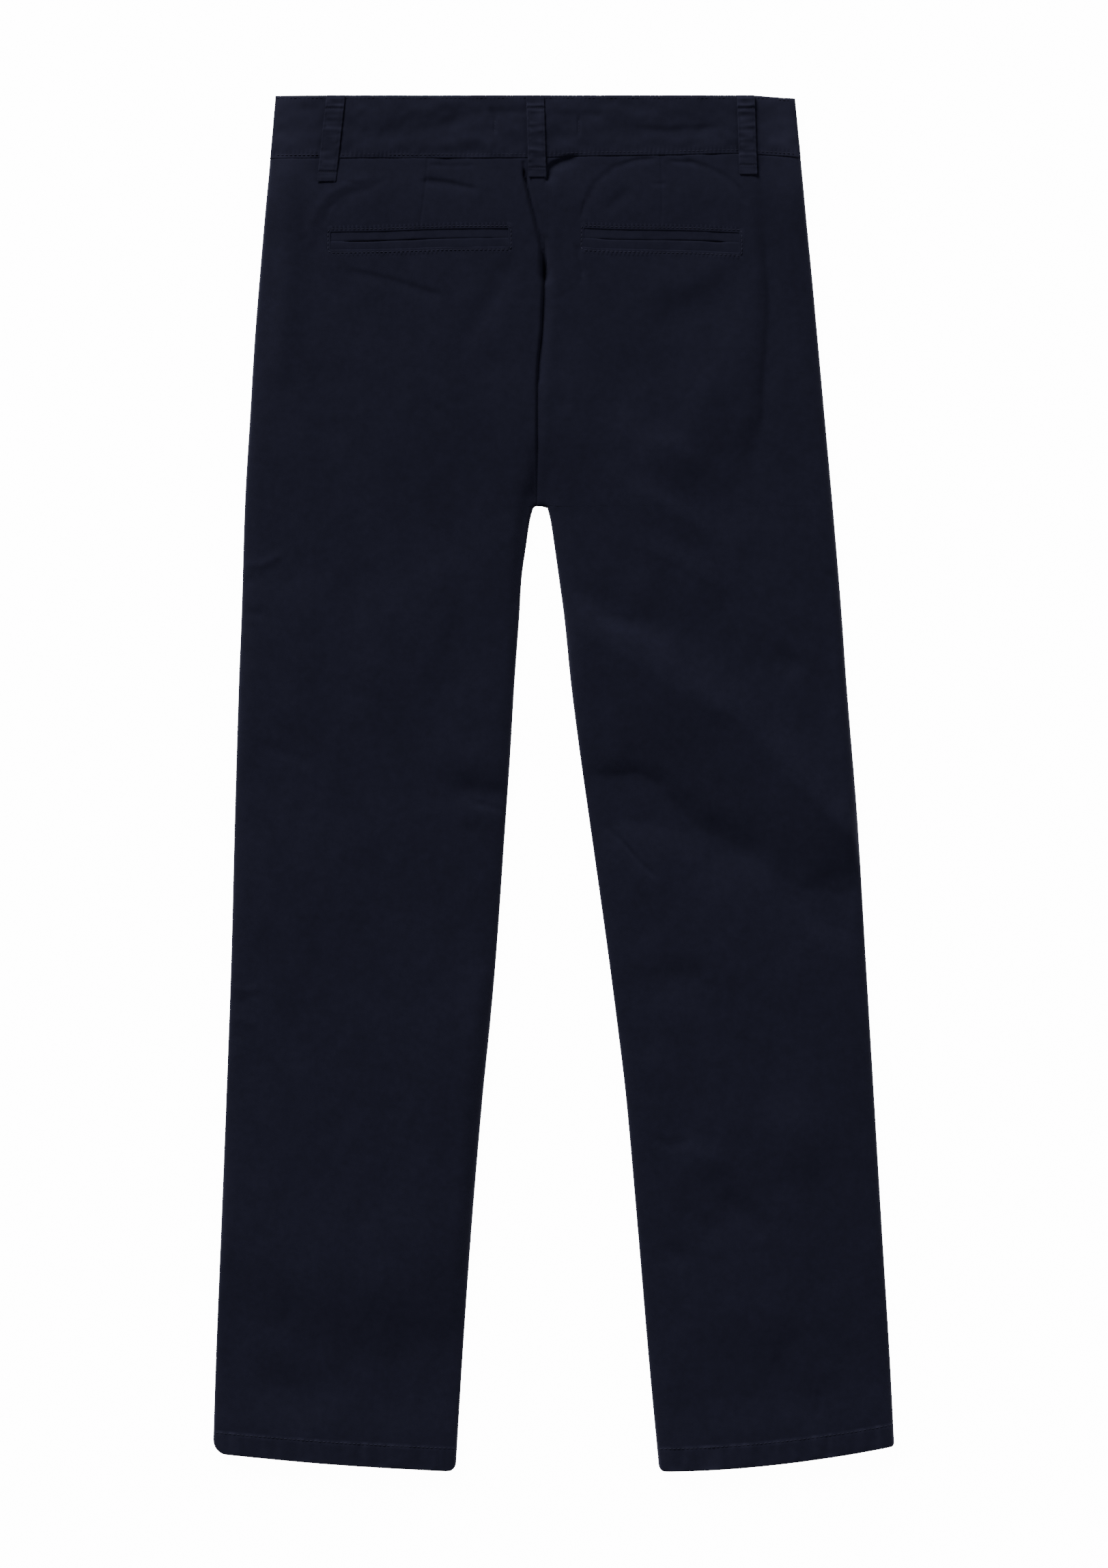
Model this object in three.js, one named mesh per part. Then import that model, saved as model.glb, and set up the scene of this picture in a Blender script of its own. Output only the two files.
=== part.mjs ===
import * as THREE from 'three';

// Chino trousers laid flat on their front, with the back up. Millimetres, +Z up.
// "across" runs from the centre back towards the wearer's right, "drop" runs down from the top edge.

// Driving sizes.
const TOTAL_LENGTH = 875.2;
const CENTRE_ACROSS = 11.37;
const SEAM_GAP = 0.3;
const BAND_DEPTH = 40.3;
const BAND_WALL = 1.5;
const FRONT_BAND_TOP = 4;
const FRONT_BAND_FOOT = 44;
const CROTCH_DROP = 261;
const CROTCH_ROUND = 2.5;
const HEM_TURN_UP = 14.5;
const HEM_EXTRA_WALL = 0.9;
const HEM_STEP = 2.5;
const EDGE_CURL = 5;
const EDGE_DOME = 30;
const CURL_SHARE = 0.55;

// Belt loops, welt pockets, fly, zip and waist button.
const LOOP_WALL = 1.2;
const LOOP_STAND = 0.8;
const LOOP_TOP = 1.3;
const FRONT_LOOP_ACROSS = 96;
const FRONT_LOOP_WIDTH = 11.5;
const FRONT_LOOP_FOOT = 56;
const WELT_WALL = 0.9;
const FRONT_CENTRE = 1;
const UNDERLAP_END = -34;
const OVERLAP_END = 2;
const UNDERLAP_FLAT = 10;
const UNDERLAP_RAMP = 16;
const SLANT_SET_IN = 32;
const SLANT_FOOT = 172;
const ZIP_HALF_WIDTH = 12;
const ZIP_WALL = 1;
const ZIP_TOP = 46;
const ZIP_FOOT = 186;
const BUTTON_RADIUS = 7.5;
const BUTTON_WALL = 2;
const BUTTON_ACROSS = -12;
const BUTTON_DROP = 24;
const BUTTON_HOLE_RADIUS = 0.9;
const BUTTON_HOLE_SPREAD = 1.6;
const BUTTON_FLAT = 9;
const BUTTON_FADE = 14;

// Outer edges, which are the side seams.
const SIDE_EDGES = [
  { drop: 0, left: -165.6, right: 164.8 },
  { drop: 41, left: -169.2, right: 168.8 },
  { drop: 82, left: -173.1, right: 172.7 },
  { drop: 112, left: -175.7, right: 175.7 },
  { drop: 156, left: -179.2, right: 179.7 },
  { drop: 199, left: -181.8, right: 183.6 },
  { drop: 261, left: -185.4, right: 189.2 },
  { drop: 330, left: -187.5, right: 194.9 },
  { drop: 373, left: -189.2, right: 197.9 },
  { drop: 460, left: -191.8, right: 204.9 },
  { drop: 547, left: -194.0, right: 210.1 },
  { drop: 634, left: -197.1, right: 215.3 },
  { drop: 721, left: -200.5, right: 220.5 },
  { drop: 808, left: -204.0, right: 225.8 },
  { drop: 880, left: -206.2, right: 229.4 },
];

// Inner edges of the legs, which are the inside leg seams.
const INNER_EDGES = [
  { drop: 261, left: -1.3, right: 7.0 },
  { drop: 269, left: -3.5, right: 9.1 },
  { drop: 286, left: -6.1, right: 11.7 },
  { drop: 308, left: -9.1, right: 14.8 },
  { drop: 330, left: -10.4, right: 17.8 },
  { drop: 373, left: -13.5, right: 22.2 },
  { drop: 417, left: -16.1, right: 27.8 },
  { drop: 460, left: -19.1, right: 33.9 },
  { drop: 547, left: -25.2, right: 46.1 },
  { drop: 591, left: -29.1, right: 51.8 },
  { drop: 634, left: -33.5, right: 57.0 },
  { drop: 721, left: -40.9, right: 64.8 },
  { drop: 808, left: -47.0, right: 72.2 },
  { drop: 880, left: -51.3, right: 79.0 },
];

// The centre back seam, which leans a little where the seat was pushed aside.
const CENTRE_SEAM = [
  { drop: 0, across: 7.0 },
  { drop: 100, across: 7.4 },
  { drop: 125, across: 5.2 },
  { drop: 150, across: 4.4 },
  { drop: 165, across: 2.2 },
  { drop: 181, across: 1.3 },
  { drop: 261, across: 0.8 },
];

// Where each hem ends, how far it bows, and how its corners are rounded.
const HEMS = {
  left: { outer: 864.5, inner: 874.8, bow: 1.0, outerCorner: 6.5, innerCorner: 4.5 },
  right: { outer: 859.4, inner: 875.2, bow: 3.2, outerCorner: 3.0, innerCorner: 4.0 },
};

// Layers from the floor up: lift of the front on the loops, walls, and puff of the back over the front.
// The walls round the seat take in the pocket bags that are sewn behind them.
const LAYERS = [
  { drop: 0, lift: 1.5, frontWall: 1.5, backWall: 1.5, puff: 2.9 },
  { drop: 41, lift: 1.5, frontWall: 1.5, backWall: 1.5, puff: 3.4 },
  { drop: 60, lift: 1.5, frontWall: 1.5, backWall: 1.8, puff: 4.3 },
  { drop: 100, lift: 0, frontWall: 1.6, backWall: 2.0, puff: 5.2 },
  { drop: 180, lift: 0, frontWall: 1.5, backWall: 2.0, puff: 5.2 },
  { drop: 261, lift: 0, frontWall: 1.2, backWall: 1.4, puff: 5.0 },
  { drop: 400, lift: 0, frontWall: 1.2, backWall: 1.2, puff: 4.6 },
  { drop: 600, lift: 0, frontWall: 1.2, backWall: 1.2, puff: 4.2 },
  { drop: 800, lift: 0, frontWall: 1.2, backWall: 1.2, puff: 3.8 },
  { drop: 880, lift: 0, frontWall: 1.2, backWall: 1.2, puff: 3.2 },
];

// The largest folds of the back: height over the cloth, half-width at each end, and the crest's path
// as pairs of across and drop.
const FOLDS = [
  { name: 'centre ditch', height: -2.0, width: 3.2, endWidth: 3.2,
    path: [[7, 100], [5, 125], [4.2, 150], [1.6, 170], [1, 261]] },
  { name: 'centre hollow', height: -1.9, width: 8, endWidth: 3, path: [[-1, 42], [1, 70], [5.5, 100]] },
  { name: 'centre seam ridge', height: 0.9, width: 4, endWidth: 4, path: [[11, 70], [11, 130], [7, 180], [7, 255]] },
  { name: 'left pocket bed', height: -0.9, width: 9, endWidth: 9, path: [[-128, 93], [-20, 91]] },
  { name: 'right pocket bed', height: -0.9, width: 9, endWidth: 9, path: [[32, 91], [128, 94]] },
  { name: 'left hip valley', height: -1.5, width: 7, endWidth: 7,
    path: [[-149.6, 70], [-146, 97], [-138, 108], [-132, 121], [-126, 138]] },
  { name: 'left hip ridge', height: 1.3, width: 8, endWidth: 8, path: [[-158, 90], [-155, 132], [-162, 200]] },
  { name: 'right hip ridge', height: 1.8, width: 10, endWidth: 9,
    path: [[134, 66], [138, 110], [136, 150], [131, 200], [126, 235]] },
  { name: 'right hip valley', height: -1.7, width: 7, endWidth: 10,
    path: [[148, 70], [152, 115], [152, 150], [148, 195], [142, 236]] },
  { name: 'left seat ridge', height: 1.2, width: 10, endWidth: 12, path: [[-12, 112], [-46, 165]] },
  { name: 'right seat ridge', height: 1.3, width: 12, endWidth: 14, path: [[132, 130], [95, 205]] },
  { name: 'right thigh ridge', height: 2.0, width: 14, endWidth: 14,
    path: [[72, 226], [84, 275], [102, 301], [122, 330]] },
  { name: 'right thigh hollow', height: -1.4, width: 10, endWidth: 10, path: [[60, 285], [88, 305]] },
  { name: 'right thigh valley', height: -1.4, width: 11, endWidth: 9, path: [[38, 336], [70, 338], [98, 346]] },
  { name: 'right knee ridge', height: 2.4, width: 18, endWidth: 16,
    path: [[45, 352], [84, 370], [120, 390], [150, 401], [186, 408]] },
  { name: 'right knee valley', height: -3.2, width: 12, endWidth: 12,
    path: [[35, 441], [67, 443], [94, 453], [120, 466], [150, 481], [176, 489], [206, 497]] },
  { name: 'left knee valley', height: -2.6, width: 9, endWidth: 6, path: [[-58, 438], [-38, 439], [-17, 440]] },
  { name: 'left knee ridge', height: 1.2, width: 12, endWidth: 10, path: [[-90, 462], [-50, 460], [-20, 456]] },
  { name: 'right calf hollow', height: -1.5, width: 13, endWidth: 13, path: [[84, 552], [104, 558]] },
  { name: 'left thigh ridge', height: 1.2, width: 18, endWidth: 22, path: [[-158, 300], [-140, 380], [-146, 450]] },
  { name: 'left calf valley', height: -1.5, width: 22, endWidth: 22, path: [[-190, 716], [-140, 765], [-62, 775]] },
  { name: 'right calf ridge', height: 1.1, width: 18, endWidth: 18, path: [[96, 660], [140, 682], [180, 690]] },
  { name: 'left hem hollow', height: -1.0, width: 20, endWidth: 20, path: [[-185, 800], [-120, 835]] },
];

const LOOPS = [
  { name: 'belt_loop_back_left', topAcross: -127.0, footAcross: -133.1, footDrop: 55.2, width: 12 },
  { name: 'belt_loop_back_center', topAcross: -0.4, footAcross: 1.1, footDrop: 52.6, width: 11.3 },
  { name: 'belt_loop_back_right', topAcross: 133.5, footAcross: 135.1, footDrop: 50.9, width: 11.3 },
];

// Each pocket opening from its end nearer the left side to its other end, with the drops of its three lines.
const POCKETS = [
  { name: 'left', start: { across: -130.1, top: 86.8, slit: 93.0, foot: 98.8 },
    end: { across: -17.0, top: 84.4, slit: 90.8, foot: 97.0 } },
  { name: 'right', start: { across: 30.0, top: 84.4, slit: 91.2, foot: 97.6 },
    end: { across: 129.6, top: 87.4, slit: 94.2, foot: 101.2 } },
];

const SIDES = {
  left: { name: 'left', sign: -1 },
  right: { name: 'right', sign: 1 },
};

// How many rows of points each stretch of a panel has, down to the drop given.
const BACK_ROWS = [
  { to: 78, count: 3 },
  { to: 106, count: 4 },
  { to: CROTCH_DROP, count: 9 },
  { to: CROTCH_DROP + CROTCH_ROUND, count: 1 },
  { to: 400, count: 8 },
  { to: 520, count: 11 },
  { to: 835, count: 12 },
];
const FRONT_ROWS = [
  { to: SLANT_FOOT, count: 8 },
  { to: CROTCH_DROP, count: 4 },
  { to: CROTCH_DROP + CROTCH_ROUND, count: 1 },
  { to: 400, count: 3 },
  { to: 835, count: 8 },
];
const BACK_COLUMNS = 18;
const FRONT_COLUMNS = 10;
const BAND_COLUMNS = 32;
const FRONT_BAND_COLUMNS = 16;
const BAND_ROWS = 4;

// Colours as they look in the photograph.
const CLOTH_COLOUR = 0x16172a;
const LOOP_COLOUR = 0x191a2c;
const WELT_COLOUR = 0x151628;
const BUTTON_COLOUR = 0x23222c;
const ZIP_COLOUR = 0x1d1e30;

const { clamp, lerp, smoothstep } = THREE.MathUtils;

// A value read from a table at a drop, on a smooth curve through its rows that never overshoots them.
function along(rows, column, drop) {
  const last = rows.length - 1;
  if (drop <= rows[0].drop) return rows[0][column];
  if (drop >= rows[last].drop) return rows[last][column];
  const next = rows.findIndex((row) => row.drop >= drop);
  const here = next - 1;
  const rise = (from) => (rows[from + 1][column] - rows[from][column]) / (rows[from + 1].drop - rows[from].drop);
  const slope = (index) => {
    if (index === 0) return rise(0);
    if (index === last) return rise(last - 1);
    const before = rise(index - 1);
    const after = rise(index);
    return before * after > 0 ? (2 * before * after) / (before + after) : 0;
  };
  const span = rows[next].drop - rows[here].drop;
  const t = (drop - rows[here].drop) / span;
  const bend = t * t * (3 - 2 * t);
  const start = t * (1 - t) * (1 - t) * span * slope(here);
  const stop = t * t * (t - 1) * span * slope(next);
  return lerp(rows[here][column], rows[next][column], bend) + start + stop;
}

function layer(column, drop) {
  return along(LAYERS, column, drop);
}

// The hem's drop below a point of a leg, and the extra wall of its turned-up edge.
function hemDrop(side, share) {
  const hem = HEMS[side.name];
  const bow = hem.bow * 4 * share * (1 - share);
  return lerp(hem.outer, hem.inner, share) + bow;
}

function hemExtra(across, drop) {
  if (drop < CROTCH_DROP) return 0;
  const side = across < FRONT_CENTRE ? SIDES.left : SIDES.right;
  const outer = along(SIDE_EDGES, side.name, drop);
  const inner = along(INNER_EDGES, side.name, drop);
  const share = clamp((across - outer) / (inner - outer), 0, 1);
  const toHem = hemDrop(side, share) - drop;
  return HEM_EXTRA_WALL * (1 - smoothstep(toHem, HEM_TURN_UP, HEM_TURN_UP + HEM_STEP));
}

// Rise from a free edge: a quick curl and then a slow dome.
function edgeRise(distance) {
  const curl = 1 - Math.exp(-distance / EDGE_CURL);
  const dome = 1 - Math.exp(-distance / EDGE_DOME);
  return CURL_SHARE * curl + (1 - CURL_SHARE) * dome;
}

function edgeDistances(across, drop) {
  const left = across - along(SIDE_EDGES, 'left', drop);
  const right = along(SIDE_EDGES, 'right', drop) - across;
  const outer = Math.max(Math.min(left, right), 0);
  const innerLeft = along(INNER_EDGES, 'left', drop) - across;
  const innerRight = across - along(INNER_EDGES, 'right', drop);
  const inner = Math.max(innerLeft, innerRight, 0);
  return { outer, inner };
}

// The nearest point of a fold's path, as a distance and a share of the path's length.
function nearestOnPath(path, across, drop) {
  const lengths = path.slice(1).map(([x, y], index) => Math.hypot(x - path[index][0], y - path[index][1]));
  const total = lengths.reduce((sum, length) => sum + length, 0);
  let nearest = { distance: Infinity, share: 0 };
  let gone = 0;
  lengths.forEach((length, index) => {
    const [fromX, fromY] = path[index];
    const [toX, toY] = path[index + 1];
    const dot = (across - fromX) * (toX - fromX) + (drop - fromY) * (toY - fromY);
    const t = clamp(dot / (length * length), 0, 1);
    const distance = Math.hypot(across - lerp(fromX, toX, t), drop - lerp(fromY, toY, t));
    if (distance < nearest.distance) {
      nearest = { distance, share: (gone + t * length) / total };
    }
    gone += length;
  });
  return nearest;
}

function foldRelief(across, drop) {
  return FOLDS.reduce((sum, fold) => {
    const { distance, share } = nearestOnPath(fold.path, across, drop);
    const width = lerp(fold.width, fold.endWidth, share);
    return sum + fold.height * Math.exp(-((distance / width) ** 2));
  }, 0);
}

// Rise of the front band over the button that lies under it.
function buttonRise(across, drop) {
  const reach = Math.hypot(across - BUTTON_ACROSS, drop - BUTTON_DROP);
  const beyond = Math.max(reach - BUTTON_FLAT, 0) / BUTTON_FADE;
  const rise = BUTTON_WALL + SEAM_GAP - layer('lift', BUTTON_DROP);
  return rise * Math.exp(-0.5 * beyond * beyond);
}

function frontUnderside(across, drop) {
  return layer('lift', drop) + buttonRise(across, drop);
}

function frontTop(across, drop) {
  return frontUnderside(across, drop) + layer('frontWall', drop) + hemExtra(across, drop);
}

// The right band passes over the left one at the centre front.
function underlapRise(across) {
  const start = OVERLAP_END + UNDERLAP_FLAT;
  return (BAND_WALL + SEAM_GAP) * (1 - smoothstep(across, start, start + UNDERLAP_RAMP));
}

// Underside of the back: puffed and folded, and never nearer to the front than the seam gap.
function backUnderside(across, drop) {
  const { outer, inner } = edgeDistances(across, drop);
  const parted = smoothstep(drop, CROTCH_DROP - 50, CROTCH_DROP + 5);
  const rise = edgeRise(outer) * lerp(1, edgeRise(inner), parted);
  const hold = (1 - Math.exp(-outer / 3)) * lerp(1, 1 - Math.exp(-inner / 3), parted);
  const floor = frontTop(across, drop) + SEAM_GAP;
  return floor + Math.max(layer('puff', drop) * rise + foldRelief(across, drop) * hold, 0);
}

function backTop(across, drop) {
  return backUnderside(across, drop) + layer('backWall', drop) + hemExtra(across, drop);
}

function place(across, drop, height) {
  return [across - CENTRE_ACROSS, TOTAL_LENGTH / 2 - drop, height];
}

// A closed wall over a grid of points, from a lower height to an upper height at each point.
function wallGeometry(grid, lower, upper) {
  const rows = grid.length;
  const columns = grid[0].length;
  const cells = grid.flat();
  const top = cells.map((cell) => place(cell.across, cell.drop, upper(cell.across, cell.drop, cell)));
  const under = cells.map((cell) => place(cell.across, cell.drop, lower(cell.across, cell.drop, cell)));
  const index = [];
  const at = (row, column) => row * columns + column;
  for (let row = 0; row < rows - 1; row++) {
    for (let column = 0; column < columns - 1; column++) {
      const a = at(row, column);
      const b = at(row, column + 1);
      const c = at(row + 1, column + 1);
      const d = at(row + 1, column);
      index.push(a, d, c, a, c, b);
      const below = [a, b, c, d].map((corner) => corner + cells.length);
      index.push(below[0], below[2], below[3], below[0], below[1], below[2]);
    }
  }
  const rim = [];
  for (let row = 0; row < rows - 1; row++) rim.push(at(row, 0));
  for (let column = 0; column < columns - 1; column++) rim.push(at(rows - 1, column));
  for (let row = rows - 1; row > 0; row--) rim.push(at(row, columns - 1));
  for (let column = columns - 1; column > 0; column--) rim.push(at(0, column));
  rim.forEach((from, step) => {
    const to = rim[(step + 1) % rim.length];
    const fromUnder = from + cells.length;
    const toUnder = to + cells.length;
    index.push(fromUnder, toUnder, to, fromUnder, to, from);
  });
  const geometry = new THREE.BufferGeometry();
  geometry.setAttribute('position', new THREE.Float32BufferAttribute([...top, ...under].flat(), 3));
  geometry.setIndex(index);
  geometry.computeVertexNormals();
  return geometry;
}

function finish(name, geometry, colour, roughness) {
  const material = new THREE.MeshStandardMaterial({ color: colour, roughness, metalness: 0 });
  const mesh = new THREE.Mesh(geometry, material);
  mesh.name = name;
  return mesh;
}

// Shares from 0 to 1 that lie closer together towards both ends.
function edgeShares(count) {
  return Array.from({ length: count + 1 }, (_, step) => {
    const even = step / count;
    return lerp(even, (1 - Math.cos(Math.PI * even)) / 2, 0.45);
  });
}

function evenShares(count) {
  return Array.from({ length: count + 1 }, (_, step) => step / count);
}

// Drops of a panel's rows, from its top seam down to where the hem's own rows start.
function rowDrops(top, table) {
  const drops = [top];
  table.forEach(({ to, count }) => {
    const from = drops[drops.length - 1];
    for (let step = 1; step <= count; step++) drops.push(lerp(from, to, step / count));
  });
  return drops;
}

// The hem's rows, by their distance up from the hem's edge.
const HEM_ROWS = [HEM_TURN_UP + HEM_STEP, HEM_TURN_UP, 5, 1.4, 0];

function cornerInset(radius, toHem) {
  if (toHem >= radius) return 0;
  return radius - Math.sqrt(radius * radius - (radius - toHem) ** 2);
}

// One row of a panel, between its outer and its inner end, running from left to right.
function panelRow(side, outer, inner, shares, bow) {
  const row = shares.map((share) => ({
    across: lerp(outer.across, inner.across, share),
    drop: lerp(outer.drop, inner.drop, share) + bow * 4 * share * (1 - share),
  }));
  return side.sign < 0 ? row : row.reverse();
}

function legEnds(side, meanDrop, toHem) {
  const hem = HEMS[side.name];
  const meanHem = (hem.outer + hem.inner) / 2;
  const fraction = toHem === null ? (meanDrop - CROTCH_DROP) / (meanHem - CROTCH_DROP) : 1;
  const lift = toHem === null ? 0 : toHem;
  const outerDrop = lerp(CROTCH_DROP, hem.outer, fraction) - lift;
  const innerDrop = lerp(CROTCH_DROP, hem.inner, fraction) - lift;
  const outerInset = toHem === null ? 0 : cornerInset(hem.outerCorner, toHem);
  const innerInset = toHem === null ? 0 : cornerInset(hem.innerCorner, toHem);
  return {
    outer: { across: along(SIDE_EDGES, side.name, outerDrop) - side.sign * outerInset, drop: outerDrop },
    inner: { across: along(INNER_EDGES, side.name, innerDrop) + side.sign * innerInset, drop: innerDrop },
    bow: hem.bow * fraction ** 4,
  };
}

// A panel's grid: the seat between its outer edge and the centre seam, then the leg, then the hem.
function panelGrid(side, drops, shares, seatOuter, seatInner) {
  const seatAndLeg = drops.map((drop) => {
    if (drop <= CROTCH_DROP) {
      const outer = { across: seatOuter(drop), drop };
      const inner = { across: seatInner(drop), drop };
      return panelRow(side, outer, inner, shares, 0);
    }
    const ends = legEnds(side, drop, null);
    return panelRow(side, ends.outer, ends.inner, shares, ends.bow);
  });
  const hem = HEM_ROWS.map((toHem) => {
    const ends = legEnds(side, 0, toHem);
    return panelRow(side, ends.outer, ends.inner, shares, ends.bow);
  });
  return [...seatAndLeg, ...hem];
}

function backPanel(side) {
  const drops = rowDrops(BAND_DEPTH + SEAM_GAP, BACK_ROWS);
  const outer = (drop) => along(SIDE_EDGES, side.name, drop);
  const inner = (drop) => along(CENTRE_SEAM, 'across', drop) + (side.sign * SEAM_GAP) / 2;
  const grid = panelGrid(side, drops, edgeShares(BACK_COLUMNS), outer, inner);
  return finish(`back_${side.name}`, wallGeometry(grid, backUnderside, backTop), CLOTH_COLOUR, 0.9);
}

// The slanted edge of the front pocket, from the band to the side seam.
function slantAcross(side, drop) {
  const seam = FRONT_BAND_FOOT + SEAM_GAP;
  const start = along(SIDE_EDGES, side.name, seam) - side.sign * SLANT_SET_IN;
  const stop = along(SIDE_EDGES, side.name, SLANT_FOOT);
  return lerp(start, stop, clamp((drop - seam) / (SLANT_FOOT - seam), 0, 1));
}

function frontPanel(side) {
  const drops = rowDrops(FRONT_BAND_FOOT + SEAM_GAP, FRONT_ROWS);
  const outer = (drop) => (drop < SLANT_FOOT ? slantAcross(side, drop) : along(SIDE_EDGES, side.name, drop));
  const inner = () => FRONT_CENTRE + (side.sign * SEAM_GAP) / 2;
  const grid = panelGrid(side, drops, edgeShares(FRONT_COLUMNS), outer, inner);
  return finish(`front_${side.name}`, wallGeometry(grid, frontUnderside, frontTop), CLOTH_COLOUR, 0.9);
}

// The hip facing that shows beyond the slanted pocket edge of the front.
function hipFacing(side) {
  const seam = FRONT_BAND_FOOT + SEAM_GAP;
  const foot = SLANT_FOOT - 6;
  const grid = evenShares(8).map((down) => {
    const drop = lerp(seam, foot, down);
    const outer = { across: along(SIDE_EDGES, side.name, drop), drop };
    const inner = { across: slantAcross(side, drop) + side.sign * SEAM_GAP, drop };
    return panelRow(side, outer, inner, evenShares(4), 0);
  });
  return finish(`hip_facing_${side.name}`, wallGeometry(grid, frontUnderside, frontTop), CLOTH_COLOUR, 0.9);
}

function bandGrid(top, foot, start, stop, columns) {
  return evenShares(BAND_ROWS).map((down) => {
    const drop = lerp(top, foot, down);
    return edgeShares(columns).map((share) => ({ across: lerp(start(drop), stop(drop), share), drop }));
  });
}

function backBand() {
  const left = (drop) => along(SIDE_EDGES, 'left', drop);
  const right = (drop) => along(SIDE_EDGES, 'right', drop);
  const grid = bandGrid(0, BAND_DEPTH, left, right, BAND_COLUMNS);
  const top = (across, drop) => backUnderside(across, drop) + BAND_WALL;
  return finish('waistband_back', wallGeometry(grid, backUnderside, top), CLOTH_COLOUR, 0.9);
}

function frontBandLeft() {
  const left = (drop) => along(SIDE_EDGES, 'left', drop);
  const grid = bandGrid(FRONT_BAND_TOP, FRONT_BAND_FOOT, left, () => OVERLAP_END, FRONT_BAND_COLUMNS);
  const top = (across, drop) => frontUnderside(across, drop) + BAND_WALL;
  return finish('waistband_front_left', wallGeometry(grid, frontUnderside, top), CLOTH_COLOUR, 0.9);
}

function frontBandRight() {
  const right = (drop) => along(SIDE_EDGES, 'right', drop);
  const grid = bandGrid(FRONT_BAND_TOP, FRONT_BAND_FOOT, () => UNDERLAP_END, right, FRONT_BAND_COLUMNS);
  const under = (across, drop) => frontUnderside(across, drop) + underlapRise(across);
  const top = (across, drop) => under(across, drop) + BAND_WALL;
  return finish('waistband_front_right', wallGeometry(grid, under, top), CLOTH_COLOUR, 0.9);
}

// A back belt loop bridges the highest cloth under each of its sections.
function backLoop({ name, topAcross, footAcross, footDrop, width }) {
  const centre = (drop) => lerp(topAcross, footAcross, (drop - LOOP_TOP) / (footDrop - LOOP_TOP));
  const grid = evenShares(18).map((down) => {
    const drop = lerp(LOOP_TOP, footDrop, down);
    const middle = centre(drop);
    return [-0.5, 0, 0.5].map((share) => ({ across: middle + share * width, drop, middle, down }));
  });
  const under = (across, drop, cell) => {
    const samples = evenShares(6).map((share) => cell.middle + (share - 0.5) * width);
    const seat = Math.max(...samples.map((sample) => backTop(sample, drop)));
    return seat + SEAM_GAP + LOOP_STAND * Math.sin(Math.PI * cell.down);
  };
  const top = (across, drop, cell) => under(across, drop, cell) + LOOP_WALL;
  return finish(name, wallGeometry(grid, under, top), LOOP_COLOUR, 0.92);
}

function frontLoop(side) {
  const middle = side.sign * FRONT_LOOP_ACROSS;
  const half = FRONT_LOOP_WIDTH / 2;
  const grid = evenShares(8).map((down) => {
    const drop = lerp(FRONT_BAND_TOP + LOOP_TOP, FRONT_LOOP_FOOT, down);
    return [-half, 0, half].map((offset) => ({ across: middle + offset, drop }));
  });
  const geometry = wallGeometry(grid, () => 0, () => LOOP_WALL);
  return finish(`belt_loop_front_${side.name}`, geometry, LOOP_COLOUR, 0.92);
}

// A pocket welt lies on the back panel between two of the opening's three lines.
function pocketWelt({ name, start, end }, place, upperLine, lowerLine) {
  const inset = SEAM_GAP / 2;
  const grid = evenShares(2).map((down) =>
    evenShares(18).map((share) => {
      const top = lerp(start[upperLine], end[upperLine], share) + inset;
      const foot = lerp(start[lowerLine], end[lowerLine], share) - inset;
      return { across: lerp(start.across, end.across, share), drop: lerp(top, foot, down) };
    }),
  );
  const under = (across, drop) => backTop(across, drop) + SEAM_GAP;
  const top = (across, drop) => under(across, drop) + WELT_WALL;
  return finish(`pocket_welt_${place}_${name}`, wallGeometry(grid, under, top), WELT_COLOUR, 0.9);
}

// The closed zip behind the fly: its two tapes with the chain between them.
function flyZip() {
  const grid = evenShares(12).map((down) =>
    [-1, -0.25, 0.25, 1].map((share) => ({
      across: FRONT_CENTRE + share * ZIP_HALF_WIDTH,
      drop: lerp(ZIP_TOP, ZIP_FOOT, down),
    })),
  );
  const under = (across, drop) => frontTop(across, drop) + SEAM_GAP;
  const top = (across, drop) => under(across, drop) + ZIP_WALL;
  return finish('fly_zip', wallGeometry(grid, under, top), ZIP_COLOUR, 0.7);
}

// The waist button: a disc with four sewing holes, on the outside of the left front band.
function waistButton() {
  const disc = new THREE.Shape();
  disc.absarc(0, 0, BUTTON_RADIUS, 0, 2 * Math.PI, false);
  [[-1, -1], [1, -1], [1, 1], [-1, 1]].forEach(([x, y]) => {
    const hole = new THREE.Path();
    hole.absarc(x * BUTTON_HOLE_SPREAD, y * BUTTON_HOLE_SPREAD, BUTTON_HOLE_RADIUS, 0, 2 * Math.PI, true);
    disc.holes.push(hole);
  });
  const geometry = new THREE.ExtrudeGeometry(disc, { depth: BUTTON_WALL, bevelEnabled: false, curveSegments: 9 });
  const mesh = finish('waist_button', geometry, BUTTON_COLOUR, 0.4);
  mesh.position.set(...place(BUTTON_ACROSS, BUTTON_DROP, 0));
  return mesh;
}

const trousers = new THREE.Group();
trousers.add(backPanel(SIDES.left), backPanel(SIDES.right));
trousers.add(frontPanel(SIDES.left), frontPanel(SIDES.right));
trousers.add(hipFacing(SIDES.left), hipFacing(SIDES.right));
trousers.add(backBand(), frontBandLeft(), frontBandRight());
LOOPS.forEach((loop) => trousers.add(backLoop(loop)));
trousers.add(frontLoop(SIDES.left), frontLoop(SIDES.right));
POCKETS.forEach((pocket) => {
  trousers.add(pocketWelt(pocket, 'upper', 'top', 'slit'));
  trousers.add(pocketWelt(pocket, 'lower', 'slit', 'foot'));
});
trousers.add(flyZip(), waistButton());

export default trousers;
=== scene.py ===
"""Chino trousers of dark navy twill, laid flat with the back up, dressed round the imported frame.

Sizes are in millimetres until a mesh is made. "across" runs from the centre back towards the
wearer's right, and "drop" runs down from the top edge of the waistband.
"""

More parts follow.
